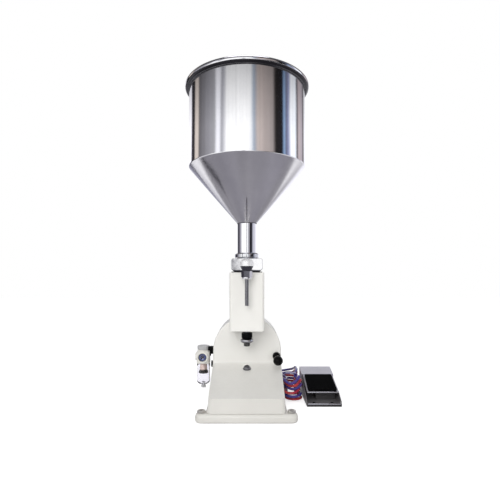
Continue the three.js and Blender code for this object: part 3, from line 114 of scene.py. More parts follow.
def turned(name, rings, sides=48, hollow=False, at=(0, 0, 0), turn=up):
    # A circle drawn out ring by ring, as [radius, height] pairs, then laid along its axis
    deselectAll()
    radius, height = rings[0]
    bpy.ops.mesh.primitive_circle_add(
        vertices=sides, radius=radius * mm, fill_type="NOTHING" if hollow else "NGON", location=(0, 0, height * mm))
    piece = bpy.context.object
    piece.name = name
    bpy.ops.object.mode_set(mode="EDIT")
    bpy.ops.mesh.select_all(action="SELECT")
    for nextRadius, nextHeight in rings[1:] + ([rings[0]] if hollow else []):
        bpy.ops.mesh.extrude_edges_move(TRANSFORM_OT_translate={"value": (0, 0, (nextHeight - height) * mm)})
        grow = nextRadius / radius
        bpy.ops.transform.resize(value=(grow, grow, 1), center_override=(0, 0, 0))
        radius, height = nextRadius, nextHeight
    if not hollow:
        bpy.ops.mesh.edge_face_add()
    bpy.ops.mesh.select_all(action="SELECT")
    bpy.ops.mesh.remove_doubles(threshold=1e-7)
    facingOut()
    return place(settled(piece), at, turn)


def boxed(name, low, high):
    deselectAll()
    middle = [(a + b) / 2 * mm for a, b in zip(low, high)]
    bpy.ops.mesh.primitive_cube_add(size=1, location=middle, scale=[(b - a) * mm for a, b in zip(low, high)])
    piece = bpy.context.object
    piece.name = name
    return settled(piece)


def softened(piece, width, segments=3, angle=32):
    pickOnly(piece)
    bevel = piece.modifiers.new("bevel", "BEVEL")
    bevel.width = width * mm
    bevel.segments = segments
    bevel.limit_method = "ANGLE"
    bevel.angle_limit = math.radians(angle)
    bpy.ops.object.modifier_apply(modifier=bevel.name)
    return piece


def carved(piece, *cutters, how="DIFFERENCE"):
    for cutter in cutters:
        pickOnly(piece)
        cut = piece.modifiers.new("carve", "BOOLEAN")
        cut.operation = how
        cut.solver = "EXACT"
        cut.object = cutter
        bpy.ops.object.modifier_apply(modifier=cut.name)
        bpy.data.objects.remove(cutter)
    return piece


def merged(name, *pieces):
    deselectAll()
    for piece in pieces:
        piece.select_set(True)
    bpy.context.view_layer.objects.active = pieces[0]
    bpy.ops.object.join()
    pieces[0].name = name
    return pieces[0]


def copied(node, name):
    # A frame node's own shape as a new mesh, its triangles merged back into flat faces
    piece = bpy.data.objects.new(name, nodes[node].data.copy())
    scene.collection.objects.link(piece)
    piece.data.transform(nodes[node].matrix_world)
    piece.data.materials.clear()
    edit(piece, "SELECT")
    bpy.ops.mesh.remove_doubles(threshold=1e-6)
    bpy.ops.mesh.dissolve_limited(angle_limit=math.radians(0.7))
    done()
    return piece


def dress(piece, material, body, slot, *replaced, smooth=35):
    pickOnly(piece)
    bpy.ops.object.shade_smooth_by_angle(angle=math.radians(smooth))
    if smooth <= 40:  # flat faces stay flat beside their rounded edges
        flat = piece.modifiers.new("flat", "WEIGHTED_NORMAL")
        flat.keep_sharp = True
        bpy.ops.object.modifier_apply(modifier=flat.name)
    if material:
        piece.data.materials.clear()
        piece.data.materials.append(materials[material])
    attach(piece, body)
    if replaced:
        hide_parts(*replaced)
    return piece


def trimmed(node, name, width, segments, angle, material, body, slot, smooth=35):
    # A frame node's shape with its edges softened
    return dress(softened(copied(node, name), width, segments, angle), material, body, slot, node, smooth=smooth)


def shaded(piece, material, test):
    # A second material on the faces that pass the test
    piece.data.materials.append(materials[material])
    edit(piece)
    pickFaces(piece, test)
    piece.active_material_index = len(piece.data.materials) - 1
    bpy.ops.object.material_slot_assign()
    done()
    return piece


print("camera")
view = dict(lens=28.44, sensor=36.0, shift=0.05, place=(0.0068, -0.892, 0.2852))  # place in metres
bpy.ops.object.camera_add(location=view["place"], rotation=(math.radians(90), 0, 0))
camera = bpy.context.object
camera.name = "camera"
camera.data.lens = view["lens"]
camera.data.sensor_width = view["sensor"]
camera.data.shift_y = view["shift"]
scene.camera = camera

print("materials")


def joinUp(tree, socket, source):
    # A socket takes a plain value or another node's output
    if isinstance(source, bpy.types.NodeSocket):
        tree.links.new(source, socket)
    else:
        socket.default_value = (*source, 1) if socket.type == "RGBA" and len(source) == 3 else source


def added(tree, kind, output, operation=None, **inputs):
    # A new node with its inputs set, and the output that is read from it; in0 and in1 are inputs by number
    node = tree.nodes.new("ShaderNode" + kind)
    if operation:
        node.operation = operation
    for title, source in inputs.items():
        joinUp(tree, node.inputs[int(title[2:]) if title[2:].isdigit() else title.replace("_", " ")], source)
    return node.outputs[output]


def newGroup(name, inputs, outputs):
    group = bpy.data.node_groups.new(name, "ShaderNodeTree")
    for title, kind, start in inputs:
        socket = group.interface.new_socket(title, in_out="INPUT", socket_type="NodeSocket" + kind)
        if start is not None:
            socket.default_value = start
    for title, kind in outputs:
        group.interface.new_socket(title, in_out="OUTPUT", socket_type="NodeSocket" + kind)
    return group, group.nodes.new("NodeGroupInput").outputs, group.nodes.new("NodeGroupOutput").inputs


def noiseIn(tree, vector, scale, detail=3.0, roughness=0.5):
    return added(tree, "TexNoise", "Fac", Detail=detail, Roughness=roughness, Vector=vector, Scale=scale)


def ranged(tree, value, low, high, toLow, toHigh):
    return added(tree, "MapRange", "Result", From_Min=low, From_Max=high, Value=value, To_Min=toLow, To_Max=toHigh)


def mixed(tree, factor, a, b):
    mix = tree.nodes.new("ShaderNodeMix")
    mix.data_type = "RGBA"
    for title, source in (("Factor", factor), ("A", a), ("B", b)):
        tree.links.new(source, mix.inputs[title])
    return mix.outputs["Result"]


def cloudyTint():
    # Two colours that drift into each other in soft clouds
    group, given, out = newGroup("cloudyTint", [
        ("Vector", "Vector", None), ("Color", "Color", (0.8, 0.8, 0.8, 1)),
        ("Second Color", "Color", (0.7, 0.7, 0.7, 1)), ("Scale", "Float", 30.0), ("Amount", "Float", 1.0)],
        [("Color", "Color")])
    mask = ranged(group, noiseIn(group, given["Vector"], given["Scale"], 4.0, 0.6), 0.38, 0.66, 0.0, given["Amount"])
    group.links.new(mixed(group, mask, given["Color"], given["Second Color"]), out["Color"])
    return group


def brushedGrain():
    # Long fine strokes: the vector is stretched before the noise reads it
    group, given, out = newGroup("brushedGrain", [
        ("Vector", "Vector", None), ("Stretch", "Vector", (1, 1, 1)), ("Scale", "Float", 400.0),
        ("Smoothest", "Float", 0.2), ("Roughest", "Float", 0.4)], [("Roughness", "Float"), ("Height", "Float")])
    stretched = added(group, "VectorMath", "Vector", "MULTIPLY", in0=given["Vector"], in1=given["Stretch"])
    noise = noiseIn(group, stretched, given["Scale"], 3.0, 0.6)
    group.links.new(ranged(group, noise, 0.3, 0.7, given["Smoothest"], given["Roughest"]), out["Roughness"])
    group.links.new(noise, out["Height"])
    return group


def settledDust():
    # What lies on faces that look up, broken by clouds
    group, given, out = newGroup("settledDust", [
        ("Vector", "Vector", None), ("Color", "Color", (0.8, 0.8, 0.8, 1)),
        ("Dust Color", "Color", (0.55, 0.53, 0.5, 1)), ("Amount", "Float", 0.15)], [("Color", "Color")])
    normal = group.nodes.new("ShaderNodeNewGeometry").outputs["Normal"]
    upward = ranged(group, added(group, "SeparateXYZ", "Z", Vector=normal), 0.5, 1.0, 0.0, given["Amount"])
    noise = noiseIn(group, given["Vector"], 90.0, 5.0, 0.65)
    lying = added(group, "Math", "Value", "MULTIPLY", in0=upward, in1=noise)
    group.links.new(mixed(group, lying, given["Color"], given["Dust Color"]), out["Color"])
    return group


groups = dict(tint=cloudyTint(), brushed=brushedGrain(), dust=settledDust())


def newMaterial(name, **values):
    # A Principled BSDF with its plain numbers set, and Object coordinates beside it
    material = materials.new(name)
    material.use_nodes = True
    tree = material.node_tree
    shader = tree.nodes["Principled BSDF"]
    for title, value in values.items():
        shader.inputs[title.replace("_", " ")].default_value = value
    return tree, shader, tree.nodes.new("ShaderNodeTexCoord").outputs["Object"]


def useGroup(tree, kind, spot, **values):
    node = tree.nodes.new("ShaderNodeGroup")
    node.node_tree = groups[kind]
    for title, value in dict(Vector=spot, **values).items():
        joinUp(tree, node.inputs[title.replace("_", " ")], value)
    return node.outputs


def bumped(tree, shader, height, distance):
    relief = added(tree, "Bump", "Normal", Distance=distance, Strength=1.0, Height=height)
    joinUp(tree, shader.inputs["Normal"], relief)


def finished(tree, shader, spot, tint, grain, relief):
    # The tint group feeds the colour, and the stroke group feeds the roughness and the relief
    tree.links.new(useGroup(tree, "tint", spot, **tint)["Color"], shader.inputs["Base Color"])
    strokes = useGroup(tree, "brushed", spot, **grain)
    tree.links.new(strokes["Roughness"], shader.inputs["Roughness"])
    bumped(tree, shader, strokes["Height"], relief)


def paintMaterial(name, color, shade, roughness, coat, coatRoughness):
    # Enamel: clouds in the tone, orange peel in the gloss, dust on top
    tree, shader, spot = newMaterial(name, Coat_Weight=coat, Coat_Roughness=coatRoughness)
    tint = useGroup(tree, "tint", spot, Color=color, Second_Color=shade, Scale=9.0, Amount=0.8)
    dusty = useGroup(tree, "dust", spot, Color=tint["Color"], Dust_Color=(0.6, 0.585, 0.55), Amount=0.3)
    tree.links.new(dusty["Color"], shader.inputs["Base Color"])
    peel = noiseIn(tree, spot, 900.0, 2.0)
    tree.links.new(ranged(tree, peel, 0.3, 0.7, roughness - 0.05, roughness + 0.07), shader.inputs["Roughness"])
    bumped(tree, shader, peel, 0.00012)


def steelMaterial(name, color, shade, smoothest, roughest, stretch, scale, grain, cloud=14.0, metallic=1.0):
    # Steel or aluminium: tone clouds, and strokes in its roughness and relief
    finished(*newMaterial(name, Metallic=metallic), dict(Color=color, Second_Color=shade, Scale=cloud, Amount=0.8),
             dict(Stretch=stretch, Scale=scale, Smoothest=smoothest, Roughest=roughest), grain)


def mouldedMaterial(name, color, shade, roughness, grain, scale=1500.0, specular=0.5):
    # Moulded plastic or rubber: a faint cloud, and a fine skin in its relief
    finished(*newMaterial(name, Specular_IOR_Level=specular),
             dict(Color=color, Second_Color=shade, Scale=40.0, Amount=0.7),
             dict(Scale=scale, Smoothest=roughness - 0.06, Roughest=roughness + 0.08), grain)


def hoseMaterial(name, color, shade, glow):
    # Soft tubing: a cloudy tint under a glossy skin, a little light carried inside
    made = newMaterial(name, Coat_Weight=0.35, Coat_Roughness=0.1, Subsurface_Weight=0.35, Subsurface_Scale=0.004,
                       Subsurface_Radius=glow)
    finished(*made, dict(Color=color, Second_Color=shade, Scale=60.0, Amount=1.0),
             dict(Scale=500.0, Smoothest=0.2, Roughest=0.34), 0.00006)


def clearMaterial(name, color, cloud, roughness):
    # Clear mouldings, with the faint haze that handling leaves
    finished(*newMaterial(name, Transmission_Weight=1.0, IOR=1.45),
             dict(Color=color, Second_Color=cloud, Scale=45.0, Amount=0.6),
             dict(Scale=220.0, Smoothest=roughness, Roughest=roughness + 0.08), 0.00002)


# Colour, the cloud's colour, roughness, coat and its roughness
paintMaterial("creamPaint", (0.83, 0.82, 0.785), (0.79, 0.775, 0.735), 0.36, 0.25, 0.12)
# painted shade: a darker copy of the cream paint, for the base and the body's skirt front
paintMaterial("basePaint", (0.71, 0.695, 0.655), (0.665, 0.65, 0.61), 0.38, 0.2, 0.15)

# Colour, the cloud's colour, smoothest and roughest, stretch of the strokes, their scale and relief
steels = dict(
    pedalPaint=((0.74, 0.73, 0.78), (0.66, 0.65, 0.7), 0.28, 0.42, (1, 6, 1), 260.0, 0.00008),
    trayPaint=((0.27, 0.258, 0.266), (0.18, 0.172, 0.18), 0.26, 0.5, (5, 1, 1), 120.0, 0.0001, 14.0, 0.35),
    drumSteel=((0.93, 0.93, 0.95), (0.85, 0.85, 0.88), 0.03, 0.13, (1, 1, 14), 160.0, 0.00002),
    coneSteel=((0.80, 0.79, 0.83), (0.72, 0.71, 0.76), 0.10, 0.24, (1, 1, 9), 190.0, 0.00004),
    polishedSteel=((0.8, 0.81, 0.83), (0.74, 0.75, 0.78), 0.05, 0.14, (1, 8, 1), 300.0, 0.00002),
    satinSteel=((0.3, 0.3, 0.32), (0.22, 0.22, 0.24), 0.22, 0.38, (1, 1, 7), 500.0, 0.00005),
    neckSteel=((0.93, 0.93, 0.95), (0.86, 0.86, 0.89), 0.04, 0.1, (1, 8, 1), 300.0, 0.00002),
    elbowSteel=((0.98, 0.98, 0.98), (0.92, 0.92, 0.93), 0.4, 0.46, (1, 1, 1), 120.0, 0.0001, 14.0, 0.5),
    blockSteel=((0.94, 0.94, 0.95), (0.8, 0.8, 0.83), 0.08, 0.18, (1, 1, 1.6), 24.0, 0.0003, 30.0),
    # painted shade: a near-black steel for the underside of the hopper's rolled bead
    rimShade=((0.07, 0.068, 0.075), (0.035, 0.034, 0.04), 0.2, 0.34, (1, 1, 14), 160.0, 0.00002),
    ringSteel=((0.72, 0.72, 0.75), (0.6, 0.6, 0.63), 0.04, 0.1, (1, 1, 14), 260.0, 0.00002),
    # dark nut steel, also laid on the tray's front face as painted shade
    nutSteel=((0.15, 0.147, 0.145), (0.10, 0.098, 0.095), 0.2, 0.34, (1, 1, 6), 400.0, 0.00004),
    # painted shade and reflection: chrome darkened for faces meant to look shaded or to mirror something dark
    darkChrome=((0.13, 0.13, 0.15), (0.09, 0.09, 0.105), 0.06, 0.16, (1, 1, 6), 260.0, 0.00002),
    wornBolt=((0.86, 0.84, 0.8), (0.66, 0.645, 0.61), 0.5, 0.68, (1, 1, 1), 500.0, 0.00012),
    # chrome trim, also laid as painted highlights on the nut's side facets and along the tray lip and treadle nose
    chromeTrim=((0.82, 0.82, 0.84), (0.78, 0.78, 0.81), 0.04, 0.1, (1, 1, 1), 300.0, 0.00001),
    cylinderAluminium=((0.62, 0.63, 0.65), (0.56, 0.57, 0.59), 0.28, 0.42, (1, 1, 8), 350.0, 0.00005),
    bronzeFilter=((0.95, 0.8, 0.72), (0.82, 0.64, 0.54), 0.5, 0.75, (1, 1, 1), 1400.0, 0.0006))

# Colour, the cloud's colour, roughness, relief, then the skin's scale and the specular level
plastics = dict(
    blackPlastic=((0.003, 0.003, 0.0033), (0.006, 0.006, 0.0065), 0.34, 0.00006, 1500.0, 0.09),
    ballPlastic=((0.002, 0.002, 0.0023), (0.0035, 0.0035, 0.004), 0.2, 0.00001, 1500.0, 0.14),
    greyPlastic=((0.53, 0.53, 0.535), (0.46, 0.46, 0.47), 0.42, 0.00006),
    offWhitePlastic=((0.84, 0.825, 0.78), (0.77, 0.755, 0.71), 0.34, 0.00005),
    sealRubber=((0.66, 0.64, 0.58), (0.6, 0.58, 0.52), 0.5, 0.00005),
    dialBlue=((0.03, 0.05, 0.2), (0.06, 0.09, 0.26), 0.3, 0.00001),
    dialNavy=((0.004, 0.006, 0.07), (0.006, 0.01, 0.10), 0.25, 0.00001),
    dialWhite=((0.05, 0.08, 0.26), (0.04, 0.065, 0.23), 0.4, 0.00001),
    valvePlastic=((0.055, 0.053, 0.055), (0.042, 0.04, 0.042), 0.36, 0.00006),
    padRubber=((0.0014, 0.0015, 0.0018), (0.003, 0.003, 0.0035), 0.7, 0.0002, 700.0, 0.04))
for name, values in steels.items():
    steelMaterial(name, *values)
for name, values in plastics.items():
    mouldedMaterial(name, *values)
hoseMaterial("redTubing", (0.55, 0.05, 0.055), (0.30, 0.015, 0.055), (1.0, 0.25, 0.2))
hoseMaterial("blueTubing", (0.045, 0.042, 0.26), (0.10, 0.045, 0.22), (0.3, 0.3, 1.0))
clearMaterial("clearBowl", (0.93, 0.925, 0.96), (0.86, 0.855, 0.91), 0.03)
clearMaterial("lensGlass", (0.97, 0.98, 1.0), (0.94, 0.95, 0.98), 0.01)
finished(*newMaterial("weldTint", Metallic=1.0),  # heat-tinted weld metal: straw and blue stains over dull grey
         dict(Color=(0.2, 0.18, 0.18), Second_Color=(0.10, 0.10, 0.15), Scale=120.0, Amount=1.0),
         dict(Scale=900.0, Smoothest=0.35, Roughest=0.6), 0.0001)

# The inner nodes that stay in view; all the others are dressed below
nodeFinishes = dict(
    satinSteel=("head_bracket", "adjust_screw"), sealRubber=("piston_seal",),
    polishedSteel=("metering_cylinder", "metering_piston", "piston_rod", "valve_spool", "block_ferrule"),
    cylinderAluminium=("air_cylinder", "air_piston", "spool_cylinder", "switch_valve"))
for node in nodes.values():
    pickOnly(node)
    bpy.ops.object.shade_smooth_by_angle(angle=math.radians(35))
for finish, names in nodeFinishes.items():
    for name in names:
        nodes[name].data.materials.clear()
        nodes[name].data.materials.append(materials[finish])

print("cords")
hank = dict(x=104, y=52, fold=18, halfRun=37, pinch=8, pitch=6.8, low=4.8, passes=3, steps=32, topLayer=5, sway=3.4,
            swayTurn=2.1, swayStart=0.8, reach=4.5, reachTurn=1.7, reachStart=2.2, lobes=11, lean=0.2, looseAt=4,
            calmAt=46)
hose = dict(size=6, lead=6, around=5, between=6)
hoseRoutes = dict(
    red=dict(
        pedal=[(180, 107.3, 14), (180, 110.5, 14), (180, 115, 13.4), (176.8, 126, 11), (168, 134.8, 8),
               (156, 138, 5.8), (145.5, 135.4, 4.9), (138, 129.5, 4.8), (133, 121.5, 4.8), (127.3, 113.6, 4.8),
               (120, 108.8, 4.8), (114.6, 107.2, 4.8)],
        machine=[(122, 98.5, 45.6), (122, 108, 44.6), (121.9, 122, 40.5), (121, 138, 34), (118, 154, 28),
                 (111.5, 170, 22), (101, 182.5, 17.5), (87, 190.5, 15), (72, 191, 15), (57.5, 185.5, 18),
                 (45, 175, 23), (37, 164, 28.5), (33.6, 154, 33.5), (33, 147, 35.8), (33, 142.9, 36)]),
    blue=dict(
        pedal=[(196, 107.3, 14), (196, 110.5, 14), (195.8, 116, 13.8), (192, 129, 13), (181.5, 139.6, 12),
               (166.5, 143.5, 11.6), (153, 140, 11.7), (144, 132, 11.9), (138, 122.8, 11.8), (131.5, 114.6, 11.7),
               (123.5, 109.3, 11.6), (115.5, 107.2, 11.6)],
        machine=[(122, 98.5, 52.4), (122.1, 110, 51.6), (122.5, 126, 48), (122.5, 142, 42.5), (120.5, 158, 37),
                 (115.5, 173, 31.5), (107, 187, 26.5), (95, 198, 22), (80, 204.5, 18.5), (64, 206, 16.5),
                 (48, 202.5, 17), (33, 194, 19.5), (20.5, 181.5, 24), (12.5, 168, 29.5), (9.6, 156, 34),
                 (9, 148, 35.8), (9, 142.9, 36)]))


def hankPoint(along, level):
    # Where the wound hose is after a length along it; it climbs two levels on each right-hand run
    fold, halfRun, run = hank["fold"], hank["halfRun"], 2 * hank["halfRun"]
    quarter = fold * math.pi / 2
    turns, rest = divmod(along, 4 * quarter + 2 * run)
    pinched = lambda s: hank["pinch"] * math.sin(math.pi * s / run) ** 2
    climb = 0
    if rest < quarter:
        angle = rest / fold
        x, y = -fold * math.sin(angle), halfRun + fold * math.cos(angle)
    elif rest < quarter + run:
        s = rest - quarter
        x, y = -fold + pinched(s), halfRun - s
    elif rest < 3 * quarter + run:
        angle = (rest - quarter - run) / fold
        x, y = -fold * math.cos(angle), -halfRun - fold * math.sin(angle)
    elif rest < 3 * quarter + 2 * run:
        s = rest - 3 * quarter - run
        x, y = fold - pinched(s), -halfRun + s
        climb = (1 - math.cos(math.pi * s / run)) / 2
    else:
        angle = (rest - 3 * quarter - 2 * run) / fold
        x, y = fold * math.cos(angle), halfRun + fold * math.sin(angle)
        climb = 1
    # in front of the tie each pass goes its own way and the upper ones rise in two lobes
    layer = level + 2 * (turns + climb)
    free = min(1, max(0, (hank["calmAt"] - hank["y"] - y) / (hank["calmAt"] - hank["looseAt"])))
    free = free * free * (3 - 2 * free)
    lift = free * layer / hank["topLayer"] * (hank["lobes"] * (x / fold) ** 2 + hank["lean"] * (x + fold))
    x += hank["sway"] * math.sin(hank["swayTurn"] * layer + hank["swayStart"]) * free
    y += hank["reach"] * math.sin(hank["reachTurn"] * layer + hank["reachStart"]) * free
    return hank["x"] + x, hank["y"] + y, hank["low"] + hank["pitch"] * layer + lift


def hoseCurve(name, points):
    curve = bpy.data.curves.new(name, "CURVE")
    curve.dimensions = "3D"
    curve.bevel_depth = hose["size"] / 2 * mm
    curve.bevel_resolution = hose["around"]
    curve.resolution_u = hose["between"]
    curve.use_fill_caps = True
    spline = curve.splines.new("BEZIER")
    spline.bezier_points.add(len(points) - 1)
    for spot, point in zip(spline.bezier_points, points):
        spot.co = Vector(point) * mm
        spot.handle_left_type = spot.handle_right_type = "AUTO"
    tube = bpy.data.objects.new(name, curve)
    scene.collection.objects.link(tube)
    return tube


tie = trimmed("hank_tie", "hankTie", 0.35, 2, 40, "blueTubing", "machine", "blue_hose")
loop = 2 * math.pi * hank["fold"] + 4 * hank["halfRun"]
end = hank["passes"] * loop - hank["fold"] * math.pi / 2
count = round(end / loop * hank["steps"])
for level, colour in enumerate(("red", "blue")):
    route = hoseRoutes[colour]
    # a hair short of the end, where the last quarter would start again
    wound = [hankPoint(end * i / count * (1 - 1e-7), level) for i in range(count + 1)]
    leadIn = (wound[0][0] + hose["lead"], *wound[0][1:])
    leadOut = (wound[-1][0], wound[-1][1] + hose["lead"], wound[-1][2])
    points = route["pedal"] + [leadIn, *wound, leadOut] + route["machine"]
    tube = hoseCurve(f"{colour}Hose", points)
    tube.data.materials.append(materials[f"{colour}Tubing"])
    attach(tube, "machine")
    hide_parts(f"{colour}_hose_pedal_run", f"{colour}_hose_hank", f"{colour}_hose_machine_run")

print("hopper")
hopper = dict(
    outside=[[19.7, 329], [24.6, 329], [25, 329.4], [25, 331], [24.2, 331.8], [21.8, 331.8], [21.2, 332.4],
             [21.2, 400.2], [21.9, 401.4], [128.9, 523.6], [129.7, 524.8], [130, 526.2]],
    inside=[[128.5, 695.5], [128.5, 526], [19.7, 402]], neck=21.2, coneLowZ=401, coneTopZ=525, drum=130, inner=128.7,
    rimX=131.5, rimZ=701.25, rim=6.5, rimFrom=-0.62, rimTo=1.12, rimSteps=22, beadZ=691.5, sides=160)
seam = dict(lowZ=403, topZ=456, width=2.6, height=0.7, sunk=0.15, thick=0.5, ribs=26, ring=0.9, ringOut=0.2,
            waves=((0.18, 31), (0.2, 7)))
gasket = [[19.7, 327.3], [24.7, 327.3], [25, 327.6], [25, 328.4], [24.7, 328.7], [19.7, 328.7]]


def hopperShell():
    h, rim = hopper, []
    for i in range(h["rimSteps"] + 1):
        angle = math.pi * (h["rimFrom"] + (h["rimTo"] - h["rimFrom"]) * i / h["rimSteps"])
        rim.append([h["rimX"] + h["rim"] * math.cos(angle), h["rimZ"] + h["rim"] * math.sin(angle)])
    shell = turned("hopperShell", h["outside"] + rim + h["inside"], h["sides"], hollow=True)
    shell.data.materials.append(materials["drumSteel"])
    # brushed cone and inside, painted shade on the rolled bead's underside, and the neck with its flange
    shaded(shell, "coneSteel", lambda c, n: h["coneLowZ"] < c.z < h["coneTopZ"] - 0.5 or (
        n.x * c.x + n.y * c.y < -1 and c.z > h["coneLowZ"] and math.hypot(c.x, c.y) < h["inner"]))
    shaded(shell, "rimShade", lambda c, n: c.z > h["beadZ"] and n.z < -0.5)
    return shaded(shell, "neckSteel", lambda c, n: c.z < h["coneLowZ"] + 0.6)


def coneSeam():
    # A weld's rippled bead up the front of the cone, fading into the ground surface
    slope = (hopper["drum"] - hopper["neck"]) / (hopper["coneTopZ"] - hopper["coneLowZ"])
    deselectAll()
    bpy.ops.mesh.primitive_grid_add(x_subdivisions=6, y_subdivisions=seam["ribs"] * 2, size=1)
    bead = bpy.context.object
    bead.name = "coneSeam"
    for corner in bead.data.vertices:
        u, v = corner.co.x * 2, corner.co.y + 0.5
        z = seam["lowZ"] + (seam["topZ"] - seam["lowZ"]) * v
        fade = min(1, (1 - v) * 4) * min(1, v * 12 + 0.3)
        ripple = 0.8 + 0.2 * math.cos(v * seam["ribs"] * 2 * math.pi + u * u * 1.6)
        out = seam["height"] * fade * (1 - u * u) * ripple
        radius = hopper["neck"] + (z - hopper["coneLowZ"]) * slope + out - seam["sunk"]
        corner.co = Vector((u * seam["width"] / 2 * (0.7 + 0.3 * fade), -radius, z - out * 0.6)) * mm
    pickOnly(bead)
    thick = bead.modifiers.new("thick", "SOLIDIFY")
    thick.thickness = seam["thick"] * mm
    thick.offset = -1
    bpy.ops.object.modifier_apply(modifier=thick.name)
    edit(bead)
    facingOut()
    return bead


def neckSeam():
    # The ring weld under the cone
    deselectAll()
    bpy.ops.mesh.primitive_torus_add(
        major_radius=(hopper["neck"] + seam["ringOut"]) * mm, minor_radius=seam["ring"] * mm, major_segments=120,
        minor_segments=10)
    ring = bpy.context.object
    ring.name = "neckSeam"
    for corner in ring.data.vertices:
        spin = math.atan2(corner.co.y, corner.co.x)
        corner.co.z += sum(high * math.sin(spin * count) for high, count in seam["waves"]) * mm
    return place(ring, (0, 0, hopper["coneLowZ"]))


dress(hopperShell(), None, "machine", "hopper_steel", "hopper", smooth=28)
for made in (coneSeam, neckSeam):
    dress(made(), "weldTint", "machine", "hopper_steel", smooth=60)
dress(turned("clampGasket", gasket, 96, hollow=True), "sealRubber", "machine", "seal_rubber", "hopper_gasket")

print("clamp and valve block")
clamp = dict(
    profile=[[21.5, 322], [24.8, 322], [26.4, 323.5], [27, 324.9], [27, 331.1], [26.4, 332.5], [24.8, 334.3],
             [21.5, 334.3], [21.5, 332.1], [25.3, 332.1], [25.3, 323.9], [21.5, 323.9]],
    lugs=(((-28.5, -4, 323.6), (-25.5, 4, 332.6)), ((22.5, -4, 323.6), (31.5, 4, 332.6))),
    splits=(((-35, -0.5, 319.1), (-19, 0.5, 337.1)), ((19, -0.5, 319.1), (35, 0.5, 337.1))),
    turn=62, bolt=[[1.8, -9], [2.2, -8.6], [2.2, 8.6], [1.8, 9]], boltOut=30, boltZ=328.1)


def clampBand():
    band = turned("clampBand", clamp["profile"], 96, hollow=True)
    for lug, split in zip(clamp["lugs"], clamp["splits"]):  # the hinge and the bolt lugs, behind the block's front
        carved(band, softened(boxed("lug", *lug), 1.2), how="UNION")
        carved(band, boxed("split", *split))
    return place(band, turn=(0, 0, clamp["turn"]))


dress(clampBand(), "polishedSteel", "machine", "polished_steel", "clamp_ring")
turnOut = math.radians(clamp["turn"])
boltAt = (clamp["boltOut"] * math.cos(turnOut), clamp["boltOut"] * math.sin(turnOut), clamp["boltZ"])
clampBolt = turned("clampBolt", clamp["bolt"], 24, at=boltAt, turn=(-90, 0, clamp["turn"]))
dress(clampBolt, "satinSteel", "machine", "polished_steel")

headAxis = (0, -8, 0)  # the metering cylinder's and the stroke adjuster's
valveBlock = dict(edge=0.7, shadeZ=296.2)
seat = dict(box=((-33.6, -29.4, 291), (33.6, 40, 292.7)), bore=[[22.9, 280], [22.9, 300]], edge=0.4)
block = copied("valve_block", "valveBlock")
# a cut across the block, so the band under it can take painted shade
edit(block, "SELECT")
bpy.ops.mesh.bisect(plane_co=(0, 0, valveBlock["shadeZ"] * mm), plane_no=(0, 0, 1))
done()
dress(softened(block, valveBlock["edge"]), "blockSteel", "machine", "polished_steel", "valve_block")
# painted shade: the band along the block's foot and its downward faces take the darkened chrome
shaded(block, "darkChrome",
       lambda c, n: n.y < 0.3 and (n.z < -0.2 or c.z < valveBlock["shadeZ"] and n.y < -0.3))
# a black seat under the block, its darkness also standing in as painted shade for the gap there
blockSeat = carved(boxed("blockSeat", *seat["box"]), turned("boreHole", seat["bore"], 64, at=headAxis))
dress(softened(blockSeat, seat["edge"], 2), "blackPlastic", "machine", "black_plastic")

nozzle = dict(
    at=(0, -55, 0), bossAt=(0, -55, 304), shadeZ=302.5,
    elbow=[[9.4, 294], [10, 294.6], [10, 295.6], [13.5, 303], [14, 304], [14, 312.4], [13.4, 314.6], [12, 316.4],
           [9.6, 317.9], [6.4, 318.9], [3, 319.4]],
    boss=[[10, 0], [10, 20], [11.4, 20.6], [11.4, 24.6]], elbowBore=[[4, 292], [4, 304]],
    nut=[[11.777945, 280.5], [11.777945, 293.5]],  # 20.4 across its flats
    outline=[[10.777945, 273.7], [11.877945, 278.7], [11.877945, 291.7], [10.577945, 293.6]],
    ring=[[9.2, 276.1], [10.2, 277], [10.45, 278.7], [10.2, 280.5], [9.2, 281.3]], ringTopZ=281,
    nutBore=[[4.3, 274.1], [4.3, 295.7]],
    spout=[[3, 220.3], [3.3, 220], [3.6, 220], [4, 220.4], [4, 293.7], [3, 293.7]])


def nozzleElbow():
    elbow = turned("nozzleElbow", nozzle["elbow"], 64, at=nozzle["at"])
    carved(elbow, turned("boss", nozzle["boss"], 64, at=nozzle["bossAt"], turn=back), how="UNION")
    return carved(elbow, turned("bore", nozzle["elbowBore"], 32, at=nozzle["at"]))


def nozzleNut():
    nut = carved(turned("nozzleNut", nozzle["nut"], 6), turned("outline", nozzle["outline"], 64), how="INTERSECT")
    carved(softened(nut, 0.3, 2), turned("ring", nozzle["ring"], 64), how="UNION")
    carved(nut, turned("bore", nozzle["nutBore"], 32))
    return place(nut, nozzle["at"], turn=(0, 0, 30))


# painted shade: the elbow's downward faces and its lower part take the darkened chrome
shaded(dress(nozzleElbow(), "elbowSteel", "machine", "polished_steel", "nozzle_elbow"), "darkChrome",
       lambda c, n: n.z < -0.12 or c.z < nozzle["shadeZ"])
# painted reflection: the nut is darkened chrome, and its side facets take bright chrome as painted highlights; the
# flange ring below is chrome
shaded(dress(nozzleNut(), "darkChrome", "machine", "chrome_trim", "nozzle_nut"), "chromeTrim",
       lambda c, n: c.z < nozzle["ringTopZ"] or abs(n.x) > 0.3 and n.y < 0.2)
spout = turned("spout", nozzle["spout"], 40, hollow=True, at=nozzle["at"])
dress(spout, "satinSteel", "machine", "plain_steel", "nozzle_tube")

